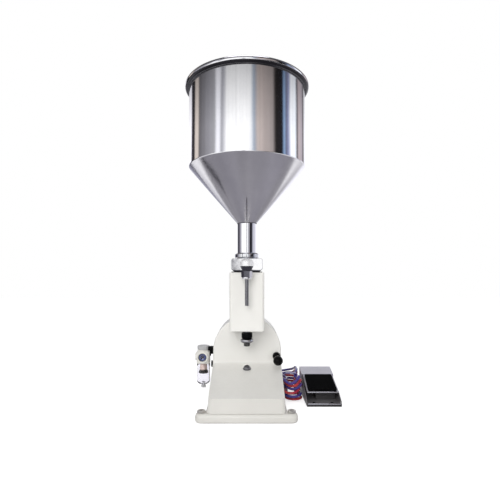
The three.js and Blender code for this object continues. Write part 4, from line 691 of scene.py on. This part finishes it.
print("body")
cove = dict(box=((-78.4, 19.6, 79.9), (78.4, 24.3, 85.2)), round=[[4.4, -90], [4.4, 90]], roundAt=(0, 19.5, 85.3))
base = dict(
    bar=((-100, -138, 0), (100, -108, 18)), height=18, corner=13.5, top=7.5, under=5,
    slabs=(((-80.5, -120, 0), (80.5, 118, 18)), ((-75, 90, 0), (75, 140, 18))), slabCorner=9, slabEdge=2.2,
    hole=[[5.25, -1], [5.25, 17.6], [8.5, 17.6], [8.5, 19]], holeX=88, holeY=-123)
panel = dict(y=118.35, pairs=((66, 32), (66, 70), (62, 120)), topZ=174, headY=64.85, headX=31, headZ=(200, 284))
screwSizes = dict(panel=(6, 2.4, 2.6), regulator=(3.6, 1.4, 1.7), ear=(16, 4, 8))  # head, height, socket
apron = dict(nearY=-132, lowZ=46.6, highZ=81, run=156, boltY=-6, seat=0.3,
             bolt=[[9, 0], [9.2, 0.4], [9.2, 1.4], [8.8, 1.8], [7.7, 1.9], [7.7, 4.2], [7, 5.8], [5.6, 7], [4.4, 7.4],
                   [4.2, 7.2], [4, 5.2]])


def capScrew(name, kind, at, turn=up, sides=32):
    # A socket-head screw, its seat at z = 0 before it is placed
    head, height, socket = screwSizes[kind]
    r = head / 2
    screw = turned(
        name, [[r - 0.3, 0], [r, 0.3], [r, height - 0.7], [r - 0.2, height - 0.25], [r - 0.7, height]], sides)
    carved(screw, turned("socket", [[socket / 2, height * 0.42], [socket / 2, height + 1]], 6))
    return place(screw, at, turn)


def basePlate():
    bar = boxed("basePlate", *base["bar"])
    edit(bar)
    bevelEdges(bar, upright, base["corner"], 12)
    bevelEdges(bar, lambda a, b: min(a.z, b.z) > base["height"] - 0.1, base["top"], 7)
    bevelEdges(bar, lambda a, b: max(a.z, b.z) < 0.1, base["under"], 5)
    done()
    for box in base["slabs"]:
        slab = boxed("slab", *box)
        edit(slab)
        bevelEdges(slab, upright, base["slabCorner"], 8)
        done()
        carved(bar, softened(slab, base["slabEdge"], 3, 50), how="UNION")
    for side in (-1, 1):
        carved(bar, turned("hole", base["hole"], 40, at=(side * base["holeX"], base["holeY"], 0)))
    return bar


body = trimmed("body_casting", "bodyCasting", 1.8, 3, 30, "creamPaint", "machine", "cream_paint", smooth=28)
# painted shade: the skirt's front faces take the darker copy of the cream paint
shaded(body, "basePaint", lambda c, n: c.y < -128 and n.y < -0.6)
coveRound = turned("coveRound", cove["round"], 64, at=cove["roundAt"], turn=right)
dress(carved(boxed("coveStrip", *cove["box"]), coveRound), "creamPaint", "machine", "cream_paint", smooth=30)
# the base plate in the darker copy of the cream paint, as painted shade
dress(basePlate(), "basePaint", "machine", "cream_paint", "base_plate", smooth=30)
trimmed("head_cover", "headCover", 0.5, 2, 40, "creamPaint", "machine", "cream_paint", smooth=32)
trimmed("head_back_plate", "headBackPlate", 0.5, 2, 32, "creamPaint", "machine", "cream_paint")
trimmed("rear_panel", "rearPanel", 0.5, 2, 32, "creamPaint", "machine", "cream_paint")
screws = [(side * x, panel["y"], z) for x, z in panel["pairs"] for side in (-1, 1)] + [(0, panel["y"], panel["topZ"])]
screws += [(side * panel["headX"], panel["headY"], z) for z in panel["headZ"] for side in (-1, 1)]
for i, at in enumerate(screws):
    dress(capScrew(f"panelScrew{i + 1}", "panel", at, back, 24), "satinSteel", "machine", "plain_steel")
for name, node, side in (("earBoltLeft", "base_bolt_left", -1), ("earBoltRight", "base_bolt_right", 1)):
    at = (side * base["holeX"], base["holeY"], base["height"] + 0.3)
    dress(capScrew(name, "ear", at), "wornBolt", "machine", "plain_steel", node)
slope = (apron["highZ"] - apron["lowZ"]) / apron["run"]
boltZ = apron["lowZ"] + (apron["boltY"] - apron["nearY"]) * slope + apron["seat"]
apronBolt = turned("apronBolt", apron["bolt"], 48, at=(0, apron["boltY"], boltZ),
                   turn=(math.degrees(math.atan(slope)), 0, 0))
dress(apronBolt, "satinSteel", "machine", "plain_steel", "apron_bolt")

print("adjuster and switch")
grip = dict(profile=[[6.5, 144.2], [10.8, 144.2], [12, 145.4], [12, 155.8], [10.8, 157], [6.5, 157]], sides=72,
            fluteFrom=11.5, inset=0.12, flute=0.6)
lock = [[6.3, 133.9], [9.9, 133.9], [10.6, 134.1], [14, 136.2], [14.7, 137.4], [14.9, 138.9], [14.7, 140.4],
        [14, 141.6], [10.6, 143.7], [9.9, 143.9], [6.3, 143.9]]
endNut = dict(
    nut=[[8.082904, 126], [8.082904, 133.6]],  # 14 across its flats
    outline=[[4.4, 125], [6.2, 126.2], [7.2, 127.6], [8.182904, 129.4], [8.182904, 132.8], [7.282904, 133.7]],
    bore=[[6.3, 124], [6.3, 135]])
switch = dict(
    at=(68, 0, 98), ballAt=(68, -30, 98), ball=10.7, steps=24, flatAt=9.4,
    collar=[[3, 15.7], [7.4, 15.7], [8.4, 16.2], [9, 17.2], [9, 20.4], [8.6, 20.8], [8.6, 21.6], [9, 22], [9, 23.2],
            [8.5, 23.7], [3, 23.7]],
    stem=[[2.4, -24.6], [2.6, -24.4], [2.6, 36.5], [2.2, 37]], bore=[[2.9, 5.05], [2.9, 14]])


def fluted(knob, sizes, each, every, test):
    # Grooves pressed into every second or fourth upright face that passes the test
    edit(knob)
    pickFaces(knob, lambda c, n: abs(n.z) < 0.1 and test(c)
              and round(math.degrees(math.atan2(c.y, c.x)) / each - 0.5) % every == 0)
    bpy.ops.mesh.inset(thickness=sizes["inset"] * mm, depth=-sizes["flute"] * mm, use_individual=True)
    done()
    return knob


def strokeGrip():
    knob = turned("strokeGrip", grip["profile"], grip["sides"], hollow=True)
    return place(fluted(knob, grip, 5, 2, lambda c: math.hypot(c.x, c.y) > grip["fluteFrom"]), headAxis)


def domeNut():
    nut = carved(turned("domeNut", endNut["nut"], 6), turned("outline", endNut["outline"], 48), how="INTERSECT")
    carved(nut, turned("bore", endNut["bore"], 32))
    return place(softened(nut, 0.2, 2), headAxis)


def switchBall():
    rings = []
    for i in range(1, switch["steps"]):  # with a flat at the rear, round the stem
        angle = math.pi * i / switch["steps"]
        height = -switch["ball"] * math.cos(angle)
        rings.append([switch["ball"] * math.sin(angle), min(height, switch["flatAt"] + 0.0001 * (i - 1))])
    ball = turned("switchBall", rings, at=switch["ballAt"], turn=back)
    return carved(ball, turned("bore", switch["bore"], 32, at=switch["ballAt"], turn=back))


dress(strokeGrip(), "blackPlastic", "adjuster", "black_plastic", "adjust_knob", smooth=25)
lockRing = turned("lockRing", lock, 72, hollow=True, at=headAxis)
# painted reflection: the ring's top and underside take the darkened chrome
shaded(dress(lockRing, "ringSteel", "adjuster", "chrome_trim", "lock_ring", smooth=24), "darkChrome",
       lambda c, n: n.z < -0.25 or n.z > 0.55)
dress(domeNut(), "nutSteel", "adjuster", "plain_steel", "end_nut")
collar = turned("switchCollar", switch["collar"], 64, hollow=True, at=switch["at"], turn=back)
dress(collar, "ballPlastic", "machine", "black_plastic", "switch_collar")
stem = turned("switchStem", switch["stem"], 32, at=switch["at"], turn=back)
dress(stem, "chromeTrim", "switch", "chrome_trim", "switch_stem")
dress(switchBall(), "ballPlastic", "switch", "black_plastic", "switch_knob", smooth=40)

print("regulator")
regulator = dict(
    at=(-104, 50, 0), box=((-15.5, -15.5, 76.4), (15.5, 15.5, 105)), corner=7.5, edge=1.6, portAt=(0, 0, 92),
    neckAt=(0, 0, 98.5), collar=[[12.6, 103], [13.6, 104.4], [13.6, 107.5], [13.1, 108]],
    port=[[9.2, 8], [9.2, 18.1], [8.4, 18.9]], blindPort=[[9.2, 8], [9.2, 17.3], [8.4, 18.1]],
    bore=[[5.2, 9], [5.2, 17.7], [6.4, 19.1]], key=[[2.6, 13.5], [2.6, 19.5]], neck=[[6.3, 7.75], [6.3, 18.5]],
    screwX=(-111.632, -96.368), screwY=65.3, screwZ=(80.4, 103.6))
cap = dict(
    profile=[[13.2, 108.6], [14.5, 109.9], [14.5, 116.2], [14.11, 117.11], [12.94, 117.5], [9.3, 117.5], [8.6, 116.9],
             [8.1, 116.9], [7.4, 117.5]], sides=96, fluteFrom=14, inset=0.15, flute=0.9)


def regulatorBody():
    r = regulator
    body = boxed("regulatorBody", *r["box"])
    edit(body)
    bevelEdges(body, upright, r["corner"], 8)
    done()
    softened(body, r["edge"], 4, 50)
    carved(body, turned("collar", r["collar"], 64), how="UNION")
    for boss, turn in ((r["port"], left), (r["blindPort"], back)):  # the open port, and the plugged one behind
        carved(body, turned("boss", boss, at=r["portAt"], turn=turn), how="UNION")
    carved(body, turned("bore", r["bore"], 40, at=r["portAt"], turn=left),
           turned("key", r["key"], 6, at=r["portAt"], turn=back),
           turned("neck", r["neck"], at=r["neckAt"], turn=right))
    return place(body, r["at"])


dress(regulatorBody(), "offWhitePlastic", "machine", "off_white_plastic", "regulator_body", smooth=30)
for i, (x, z) in enumerate((x, z) for z in regulator["screwZ"] for x in regulator["screwX"]):
    screw = capScrew(f"regulatorScrew{i + 1}", "regulator", (x, regulator["screwY"], z), back, 24)
    dress(screw, "satinSteel", "machine", "off_white_plastic")
knob = turned("regulatorCap", cap["profile"], cap["sides"])
place(fluted(knob, cap, 3.75, 4, lambda c: math.hypot(c.x, c.y) > cap["fluteFrom"]), regulator["at"])
dress(knob, "greyPlastic", "pressure_cap", "grey_plastic", "regulator_cap", smooth=25)

gauge = dict(
    at=(-104, 50, 93), face=18.8, ticks=21, bigTick=(1.7, 0.26), tick=(1.0, 0.14), tickOut=8.9, tickHalf=0.05,
    span=135, tip=(0.28, 8.3), tail=(0.75, -3.2), handY=-19.35, handThick=0.4,
    hub=[[1.7, 19.1], [1.7, 19.7], [1.2, 20.1]],
    case=[[8, 15.8], [11.6, 15.8], [12.4, 16.4], [12.6, 20.6], [13, 21.2], [13, 23.9], [12.1, 24.8], [10.4, 24.8],
          [9.7, 24.1], [9.7, 21.7], [11, 21.7], [11, 18.8], [8, 18.8]],
    dial=[[10.8, 17.3], [10.8, 18.65], [10.6, 18.8]], centre=[[4.3, 18.6], [4.3, 18.86]],
    lens=[[10.5, 20.4], [10.7, 20.6], [10.7, 21.1], [10.4, 21.4]])


def dialMarks():
    g, marks = gauge, []
    for i in range(g["ticks"]):
        long, wide = g["tick"] if i % 5 else g["bigTick"]
        mark = boxed("mark", (-wide / 2, -g["face"] - g["tickHalf"], g["tickOut"] - long),
                     (wide / 2, -g["face"] + g["tickHalf"], g["tickOut"]))
        marks.append(place(mark, turn=(0, -g["span"] + 2 * g["span"] * i / (g["ticks"] - 1), 0)))
    return place(merged("dialMarks", *marks), g["at"])


def gaugeHand():
    # Made pointing up on its own axis, then turned to rest
    deselectAll()
    bpy.ops.mesh.primitive_cube_add(size=1)
    hand = bpy.context.object
    hand.name = "gaugeHand"
    for corner in hand.data.vertices:
        wide, z = gauge["tip"] if corner.co.z > 0 else gauge["tail"]
        y = gauge["handY"] + math.copysign(gauge["handThick"] / 2, corner.co.y)
        corner.co = Vector((math.copysign(wide, corner.co.x), y, z)) * mm
    carved(hand, turned("hub", gauge["hub"], 32, turn=front), how="UNION")
    place(hand, turn=(0, -gauge["span"], 0))
    return place(hand, gauge["at"])


case = turned("gaugeCase", gauge["case"], 72, hollow=True, at=gauge["at"], turn=front)
dress(case, "offWhitePlastic", "machine", "off_white_plastic", "gauge_case", smooth=30)
dial = turned("gaugeDial", gauge["dial"], 72, at=gauge["at"], turn=front)
dress(dial, "dialBlue", "machine", "off_white_plastic")
centre = turned("dialCentre", gauge["centre"], at=gauge["at"], turn=front)
dress(centre, "dialNavy", "machine", "off_white_plastic")
dress(dialMarks(), "dialWhite", "machine", "off_white_plastic")
dress(gaugeHand(), "ballPlastic", "needle", "black_plastic", "gauge_needle")
lens = turned("gaugeLens", gauge["lens"], 64, at=gauge["at"], turn=front)
dress(lens, "lensGlass", "machine", "gauge_glass", "gauge_lens", smooth=50)

bowl = dict(foot=[[4.9, 27.2], [7.5, 27]], outEnd=(8, 7.9, 7.5, 8.4), inEnd=(6, 6.9, 6.7, 5), endSteps=8, endZ=35.4,
            top=[[15.4, 68.6], [15.4, 75.4], [15, 75.8], [13.6, 75.8]], mouth=[[4.9, 30.4]])
element = [[3, 60.9], [8, 60.6], [8.7, 61.3], [8.7, 72.4], [8.3, 72.9], [8.3, 76.1], [3, 76.1]]
baffle = dict(profile=[[10.6, 52.6], [11.5, 53.4], [11.5, 54.6], [10.3, 57.6], [9, 60], [8.4, 60.3]],
              slot=((9.6, -0.5, 51), (12.4, 0.5, 61)), slots=12)
drain = dict(profile=[[3.6, 18], [4.9, 18.3], [5.5, 19.1], [5.5, 22.2], [4.9, 22.9], [4.6, 23], [4.6, 28.8],
                      [4.4, 30.4], [3.7, 31.7], [2.4, 32.4]], low=19.2, high=22.1, inset=0.1, flute=0.35)
pushRing = dict(profile=[[3, 108.4], [5.4, 108.4], [5.7, 108.8], [5.7, 112.6], [4.9, 113.2], [4.9, 113.8],
                         [6, 114.2], [6.2, 114.6], [6.2, 116.9], [5.8, 117.4], [3, 117.4]], at=(-86, 38, 0))


def bowlEnd(fromAngle, core, reach, drop):
    # The rounded lower end, from its foot up to the wall
    turns = [math.radians(fromAngle + (90 - fromAngle) * i / bowl["endSteps"]) for i in range(bowl["endSteps"] + 1)]
    return [[core + reach * math.sin(angle), bowl["endZ"] - drop * math.cos(angle)] for angle in turns]


def baffleDisc():
    disc = turned("baffleDisc", baffle["profile"], 72)
    for i in range(baffle["slots"]):
        carved(disc, place(boxed("slot", *baffle["slot"]), turn=(0, 0, (i + 0.5) * 360 / baffle["slots"])))
    return place(disc, regulator["at"])


rings = bowl["foot"] + bowlEnd(*bowl["outEnd"]) + bowl["top"] + bowlEnd(*bowl["inEnd"])[::-1] + bowl["mouth"]
filterBowl = turned("filterBowl", rings, 72, hollow=True, at=regulator["at"])
dress(filterBowl, "clearBowl", "machine", "clear_bowl", "filter_bowl", smooth=50)
filterElement = turned("filterElement", element, 56, hollow=True, at=regulator["at"])
dress(filterElement, "bronzeFilter", "machine", "bronze_filter", "filter_element")
dress(baffleDisc(), "blackPlastic", "machine", "black_plastic", "baffle", smooth=30)
bowlDrain = fluted(turned("bowlDrain", drain["profile"]), drain, 7.5, 2, lambda c: drain["low"] < c.z < drain["high"])
dress(place(bowlDrain, regulator["at"]), "greyPlastic", "drain", "grey_plastic", "bowl_drain")
trimmed("regulator_elbow", "regulatorElbow", 2.2, 4, 40, "blackPlastic", "machine", "black_plastic")
ring = turned("pushRing", pushRing["profile"], hollow=True, at=pushRing["at"])
dress(ring, "blackPlastic", "machine", "black_plastic")
trimmed("flank_plug", "flankPlug", 0.8, 3, 50, "blackPlastic", "machine", "black_plastic")

print("ports")
collet = dict(profile=[[3.25, -3], [4.3, -3], [5.1, -2.2], [5.1, -0.8], [4.8, -0.5], [3.25, -0.5]], out=2.6)
trimmed("port_manifold", "portManifold", 0.9, 3, 40, "blackPlastic", "machine", "black_plastic")
hoseEnds = [hoseRoutes[colour]["machine"][-1] for colour in ("red", "blue")]
hoseEnds += [hoseRoutes[colour]["pedal"][0] for colour in ("red", "blue")]
for i, (x, y, z) in enumerate(hoseEnds):
    ring = turned(f"releaseRing{i + 1}", collet["profile"], hollow=True, at=(x, y + collet["out"], z), turn=back)
    dress(ring, "greyPlastic", "machine", "grey_plastic")

print("pedal")
pedal = dict(
    tilt=math.degrees(math.atan(20.2 / 70)), frontEdge=(168, -20, 27),
    cheekX=(130, 204.8), cheekWide=1.2, cheekEdge=0.3,
    cheek=[(-37.2, 7.6), (-37.2, 8.4), (-34, 10.4), (-9, 23.6), (50, 39.5), (53.4, 39.5), (53.4, 7.6)],
    lip=[[0.9, -35.8], [1.3, -35.4], [1.3, 35.4], [0.9, 35.8]], lipAt=(168, -37.4, 5.7), plugX=(148, 188), plugY=-19,
    plug=[[2.9, 0.1], [3.3, 0.4], [3.3, 3.3], [2.6, 3.9], [1, 4.1]], nose=((-40, -2, -9), (40, 2.05, -2.6)),
    flank=((-40, -4, -16), (40, 33, 0)), flankAt=(0, 0, -2.6), flankTurn=-11.2,
    bead=[[0.9, -34.6], [1.4, -34.1], [1.4, 34.1], [0.9, 34.6]], noseHighlightAt=(168, -19.9, 26),
    pin=[[2.6, -36.6], [3, -36.2], [3, 36.2], [2.6, 36.6]], pinAt=(168, 62, 39),
    plunger=[[3.7, 15.9], [4, 16.2], [4, 30.4], [3.8, 31.4], [3.1, 32.6], [1.9, 33.5], [0.6, 33.9]],
    plungerAt=(168, 15, 0))
pad = dict(half=32, start=3.8, length=67.4, low=0.3, top=3.3, corner=3, edge=0.6, rim=4, ribs=21, groove=0.7,
           deep=0.55)


def onTreadle(piece):
    # Laid along the treadle, its front edge at y = 0 before that
    place(piece, turn=(pedal["tilt"], 0, 0))
    return place(piece, pedal["frontEdge"])


def trayCheeks():
    sides = []
    for x in pedal["cheekX"]:
        side = boxed("trayCheek", (x, 0, 0), (x + 1, 1, 1))
        side.data.clear_geometry()
        corners = [Vector((x, y, z)) * mm for y, z in pedal["cheek"]]
        side.data.from_pydata(corners, [], [list(range(len(corners)))])
        edit(side, "SELECT")
        bpy.ops.mesh.extrude_region_move(TRANSFORM_OT_translate={"value": (pedal["cheekWide"] * mm, 0, 0)})
        facingOut()
        sides.append(softened(side, pedal["cheekEdge"], 2, 30))
    return merged("trayCheeks", *sides)


def ribbedPad():
    p = pad
    mat = boxed("treadlePad", (-p["half"], p["start"], p["low"]), (p["half"], p["start"] + p["length"], p["top"]))
    edit(mat)
    bevelEdges(mat, upright, p["corner"], 6)
    done()
    softened(mat, p["edge"], 3, 50)
    grooves, half = [], p["half"] - p["rim"]
    for i in range(1, p["ribs"]):
        y = p["start"] + p["length"] * i / p["ribs"]
        grooves.append(boxed("groove", (-half, y - p["groove"] / 2, p["top"] - p["deep"]),
                             (half, y + p["groove"] / 2, p["top"] + 1)))
    return onTreadle(carved(mat, merged("grooves", *grooves)))


tray = trimmed("pedal_tray", "pedalTray", 0.7, 3, 40, "trayPaint", "machine", "pedal_metal", smooth=32)
# painted shade: the tray's front face under the lip takes the dark nut steel
shaded(tray, "nutSteel", lambda c, n: n.y < -0.7 and c.y < -35 and c.z < 6.5)
dress(trayCheeks(), "trayPaint", "machine", "pedal_metal")
# painted highlight: a chrome strip laid along the top of the tray's lip
lipHighlight = turned("trayLipBead", pedal["lip"], 24, at=pedal["lipAt"], turn=right)
dress(lipHighlight, "chromeTrim", "machine", "pedal_metal")
for i, x in enumerate(pedal["plugX"]):
    holePlug = turned(f"trayFoot{i + 1}", pedal["plug"], 32, at=(x, pedal["plugY"], 0))
    dress(holePlug, "ballPlastic", "machine", "pad_rubber")
trimmed("pedal_hood", "pedalHood", 0.9, 3, 40, "pedalPaint", "machine", "pedal_metal", smooth=32)
treadle = trimmed("treadle", "treadlePlate", 0.6, 3, 40, "pedalPaint", "treadle", "pedal_metal", smooth=32)
noseCut = onTreadle(boxed("noseCut", *pedal["nose"]))
flankCut = onTreadle(place(boxed("flankCut", *pedal["flank"]), pedal["flankAt"], (pedal["flankTurn"], 0, 0)))
carved(treadle, noseCut, flankCut)
# painted highlight: a chrome strip laid along the treadle's nose
bead = turned("treadleBead", pedal["bead"], 24, at=pedal["noseHighlightAt"], turn=right)
dress(bead, "chromeTrim", "treadle", "pedal_metal")
pin = turned("hingePin", pedal["pin"], 40, at=pedal["pinAt"], turn=right)
dress(pin, "satinSteel", "machine", "plain_steel", "hinge_pin")
trimmed("pedal_valve", "pedalValve", 0.8, 3, 40, "valvePlastic", "machine", "black_plastic", smooth=32)
plunger = turned("valvePlunger", pedal["plunger"], 40, at=pedal["plungerAt"])
dress(plunger, "chromeTrim", "plunger", "plain_steel", "valve_plunger")
dress(ribbedPad(), "padRubber", "treadle", "pad_rubber", "treadle_pad", smooth=30)

print("studio")  # sizes here are in metres
studio = dict(floor=8.0, floorGlow=0.6, ambient=0.46, room=2.6, brightest=1.25, roomStreak=0.16)
lamps = dict(keyLamp=(1.7, 35.5, (-0.6, -2.1, 1.3), (0, 0, 0.2)), fillLamp=(1.6, 7, (1.9, -1.3, 0.9), (0, 0, 0.25)))
darkStrip = dict(at=(-0.73, 0.135, 0.0016), turn=-26.7, size=(0.42, 0.1, 1), color=(0.03, 0.028, 0.035))


def seenStrength(tree, unseen, seen):
    # One strength for what the camera, mirrors and clear pieces see, another for all that lights the machine
    rays = tree.nodes.new("ShaderNodeLightPath").outputs
    mirrored = added(tree, "Math", "Value", "MAXIMUM", in0=rays["Is Camera Ray"], in1=rays["Is Glossy Ray"])
    through = added(tree, "Math", "Value", "MAXIMUM", in0=mirrored, in1=rays["Is Transmission Ray"])
    return ranged(tree, through, 0.0, 1.0, unseen, seen)


def softLamp(name, size, watts, at, towards):
    bpy.ops.object.light_add(type="AREA", location=at)
    lamp = bpy.context.object
    lamp.name = name
    lamp.data.size = size
    lamp.data.energy = watts
    lamp.visible_glossy = False
    lamp.rotation_euler = (Vector(towards) - Vector(at)).to_track_quat("-Z", "Y").to_euler()


def mirrorLight(piece):
    # The piece gives light that mirrors alone see
    material = materials.new(piece.name + "Light")
    material.use_nodes = True
    tree = material.node_tree
    tree.nodes.remove(tree.nodes["Principled BSDF"])
    light = tree.nodes.new("ShaderNodeEmission")
    joinUp(tree, tree.nodes["Material Output"].inputs["Surface"], light.outputs["Emission"])
    piece.data.materials.append(material)
    piece.visible_camera = piece.visible_diffuse = piece.visible_shadow = piece.visible_transmission = False
    return tree, light.inputs, tree.nodes.new("ShaderNodeTexCoord").outputs["Object"]


def azimuthColors(tree, color, spot, stops, waver, streak=0.0):
    # The stops' colours by azimuth, their edges wavering, with fine upright streaks
    split = tree.nodes.new("ShaderNodeSeparateXYZ")
    joinUp(tree, split.inputs["Vector"], spot)
    flipped = added(tree, "Math", "Value", "MULTIPLY", in0=split.outputs["Y"], in1=-1)
    azimuth = added(tree, "Math", "Value", "ARCTAN2", in0=split.outputs["X"], in1=flipped)
    wander = ranged(tree, noiseIn(tree, spot, 1.1, 3.0, 0.6), 0.25, 0.75, -waver, waver)
    drift = added(tree, "Math", "Value", "ADD", in0=azimuth, in1=wander)
    ramp = tree.nodes.new("ShaderNodeValToRGB")
    joinUp(tree, ramp.inputs["Fac"], ranged(tree, drift, -math.pi, math.pi, 0.0, 1.0))
    points = ramp.color_ramp.elements
    while len(points) < len(stops):
        points.new(0.5)
    for point, (angle, stop) in zip(points, stops):
        point.position = angle / 360 + 0.5
    for point, (angle, stop) in zip(points, stops):  # after the places, since moving them sorts them
        point.color = (*stop, 1)
    lines = noiseIn(tree, added(tree, "VectorMath", "Vector", "MULTIPLY", in0=spot, in1=(7, 7, 0.5)), 1.0, 4.0, 0.6)
    joinUp(tree, color, added(tree, "VectorMath", "Vector", "SCALE", in0=ramp.outputs["Color"],
                              Scale=ranged(tree, lines, 0.35, 0.65, 1 - streak, 1 + streak / 3)))


def roomRing(name, low, high, stops, waver, dimFrom, dimTo, dimmest):
    # What polished metal sees round the room: azimuth in degrees from the camera's side towards +X, then a colour
    bpy.ops.mesh.primitive_cylinder_add(vertices=128, radius=studio["room"], depth=high - low,
                                        location=(0, 0, (low + high) / 2), end_fill_type="NOTHING")
    ring = settled(bpy.context.object)
    ring.name = name
    tree, light, spot = mirrorLight(ring)
    azimuthColors(tree, light["Color"], spot, stops, waver, studio["roomStreak"])
    height = added(tree, "SeparateXYZ", "Z", Vector=spot)
    joinUp(tree, light["Strength"], ranged(tree, height, dimFrom, dimTo, studio["brightest"], dimmest))


bpy.ops.mesh.primitive_plane_add(size=studio["floor"], location=(0, 0, 0))
floor = bpy.context.object
floor.name = "floor"
tree, shader, spot = newMaterial("paleFloor", Base_Color=(0.8, 0.8, 0.8, 1), Roughness=0.9)
glow = added(tree, "Emission", "Emission", Color=(1, 1, 1), Strength=seenStrength(tree, 0.0, studio["floorGlow"]))
both = added(tree, "AddShader", "Shader", in0=shader.outputs["BSDF"], in1=glow)
joinUp(tree, tree.nodes["Material Output"].inputs["Surface"], both)
floor.data.materials.append(materials["paleFloor"])

scene.world = bpy.data.worlds.new("studioWorld")
scene.world.use_nodes = True
tree = scene.world.node_tree
joinUp(tree, tree.nodes["Background"].inputs["Color"], (1, 1, 1))
joinUp(tree, tree.nodes["Background"].inputs["Strength"], seenStrength(tree, studio["ambient"], 1.0))
for name, values in lamps.items():
    softLamp(name, *values)

drumSees = [
    (-180, (1.0, 1.0, 1.0)), (-136, (0.92, 0.9, 0.96)), (-131, (0.03, 0.028, 0.035)), (-119, (0.03, 0.028, 0.03)),
    (-115, (0.62, 0.55, 0.5)), (-106, (0.6, 0.53, 0.48)), (-102, (0.13, 0.125, 0.135)), (-88, (0.2, 0.195, 0.21)),
    (-74, (0.3, 0.295, 0.32)), (-62, (0.36, 0.36, 0.38)), (-58, (0.95, 0.95, 1.0)), (-51, (0.9, 0.9, 0.95)),
    (-47, (0.36, 0.36, 0.39)), (-43, (0.5, 0.5, 0.54)), (-37, (1.0, 1.0, 1.0)), (6, (1.0, 1.0, 1.0)),
    (13, (0.34, 0.4, 0.49)), (20, (0.5, 0.43, 0.4)), (32, (0.44, 0.38, 0.36)), (48, (0.34, 0.3, 0.29)),
    (54, (0.02, 0.018, 0.018)), (69, (0.016, 0.015, 0.018)), (73, (0.26, 0.38, 0.58)), (78, (0.13, 0.14, 0.2)),
    (85, (0.3, 0.32, 0.5)), (91, (0.96, 0.98, 1.0)), (105, (0.9, 0.94, 1.0)), (110, (0.05, 0.05, 0.06)),
    (116, (0.5, 0.43, 0.44)), (133, (0.42, 0.38, 0.42)), (139, (0.07, 0.06, 0.065)), (152, (0.95, 0.95, 1.0))]
neckSees = [
    (-180, (0.5, 0.5, 0.58)), (-150, (0.3, 0.3, 0.36)), (-135, (0.03, 0.03, 0.035)), (-104, (0.06, 0.055, 0.07)),
    (-96, (0.3, 0.29, 0.33)), (-76, (0.34, 0.33, 0.37)), (-66, (1.0, 1.0, 1.0)), (-8.5, (1.0, 1.0, 1.0)),
    (-7, (0.2, 0.2, 0.22)), (-2.4, (0.26, 0.26, 0.28)), (-1.7, (1.0, 1.0, 1.0)), (8, (1.0, 1.0, 1.0)),
    (17, (0.4, 0.4, 0.44)), (28, (0.34, 0.33, 0.36)), (36, (0.02, 0.02, 0.025)), (62, (0.02, 0.02, 0.024)),
    (72, (0.34, 0.34, 0.4)), (104, (0.7, 0.7, 0.77)), (116, (0.4, 0.39, 0.44)), (128, (0.95, 0.95, 1.0))]
benchSees = [
    (-180, (1.0, 0.98, 1.0)), (-60, (0.93, 0.91, 1.0)), (0, (0.96, 0.94, 1.0)), (90, (0.93, 0.91, 1.0)),
    (150, (1.0, 0.98, 1.0))]
farSees = [
    (-180, (1.0, 1.0, 1.0)), (-160, (0.45, 0.45, 0.48)), (-142, (0.8, 0.8, 0.84)), (-124, (1.0, 1.0, 1.0)),
    (-52, (1.0, 1.0, 1.0)), (-40, (0.42, 0.42, 0.45)), (-22, (0.3, 0.3, 0.33)), (-8, (0.85, 0.85, 0.88)),
    (14, (0.75, 0.73, 0.72)), (30, (0.3, 0.28, 0.28)), (46, (0.5, 0.48, 0.49)), (56, (1.0, 1.0, 1.0)),
    (122, (1.0, 1.0, 1.0)), (140, (0.5, 0.49, 0.52)), (156, (0.85, 0.85, 0.9)), (168, (0.4, 0.4, 0.42))]
roomRing("drumRoom", 0.8, 3.2, drumSees, 0.035, 1.5, 2.1, 0.46)
roomRing("neckRoom", 0.01, 0.8, neckSees, 0.03, 0.3, 0.01, 0.7)

# The bench under the cone and the ceiling over the rim, seen by mirrors alone
for name, radius, z, sees, near, far in (
        ("benchGlow", 1.0, 0.0012, benchSees, 0.29, 0.37), ("farBench", 2.6, 0.0006, farSees, 0.85, 1.1),
        ("ceilingGlow", 2.6, 3.2, benchSees, 0.06, 0.14), ("skyGlow", 0.85, 3.18, benchSees, 2.2, 2.7)):
    bpy.ops.mesh.primitive_circle_add(vertices=96, radius=radius, fill_type="NGON", location=(0, 0, z))
    bpy.context.object.name = name
    tree, light, spot = mirrorLight(bpy.context.object)
    azimuthColors(tree, light["Color"], spot, sees, 0.02)
    joinUp(tree, light["Strength"], ranged(tree, noiseIn(tree, spot, 3.0 / radius), 0.35, 0.65, near, far))

bpy.ops.mesh.primitive_plane_add(
    size=1, location=darkStrip["at"], rotation=(0, 0, math.radians(darkStrip["turn"])))
benchStreak = bpy.context.object
benchStreak.name = "benchStreak"
benchStreak.scale = darkStrip["size"]
tree, light, spot = mirrorLight(benchStreak)
joinUp(tree, light["Color"], darkStrip["color"])

scene.view_settings.view_transform = "Standard"
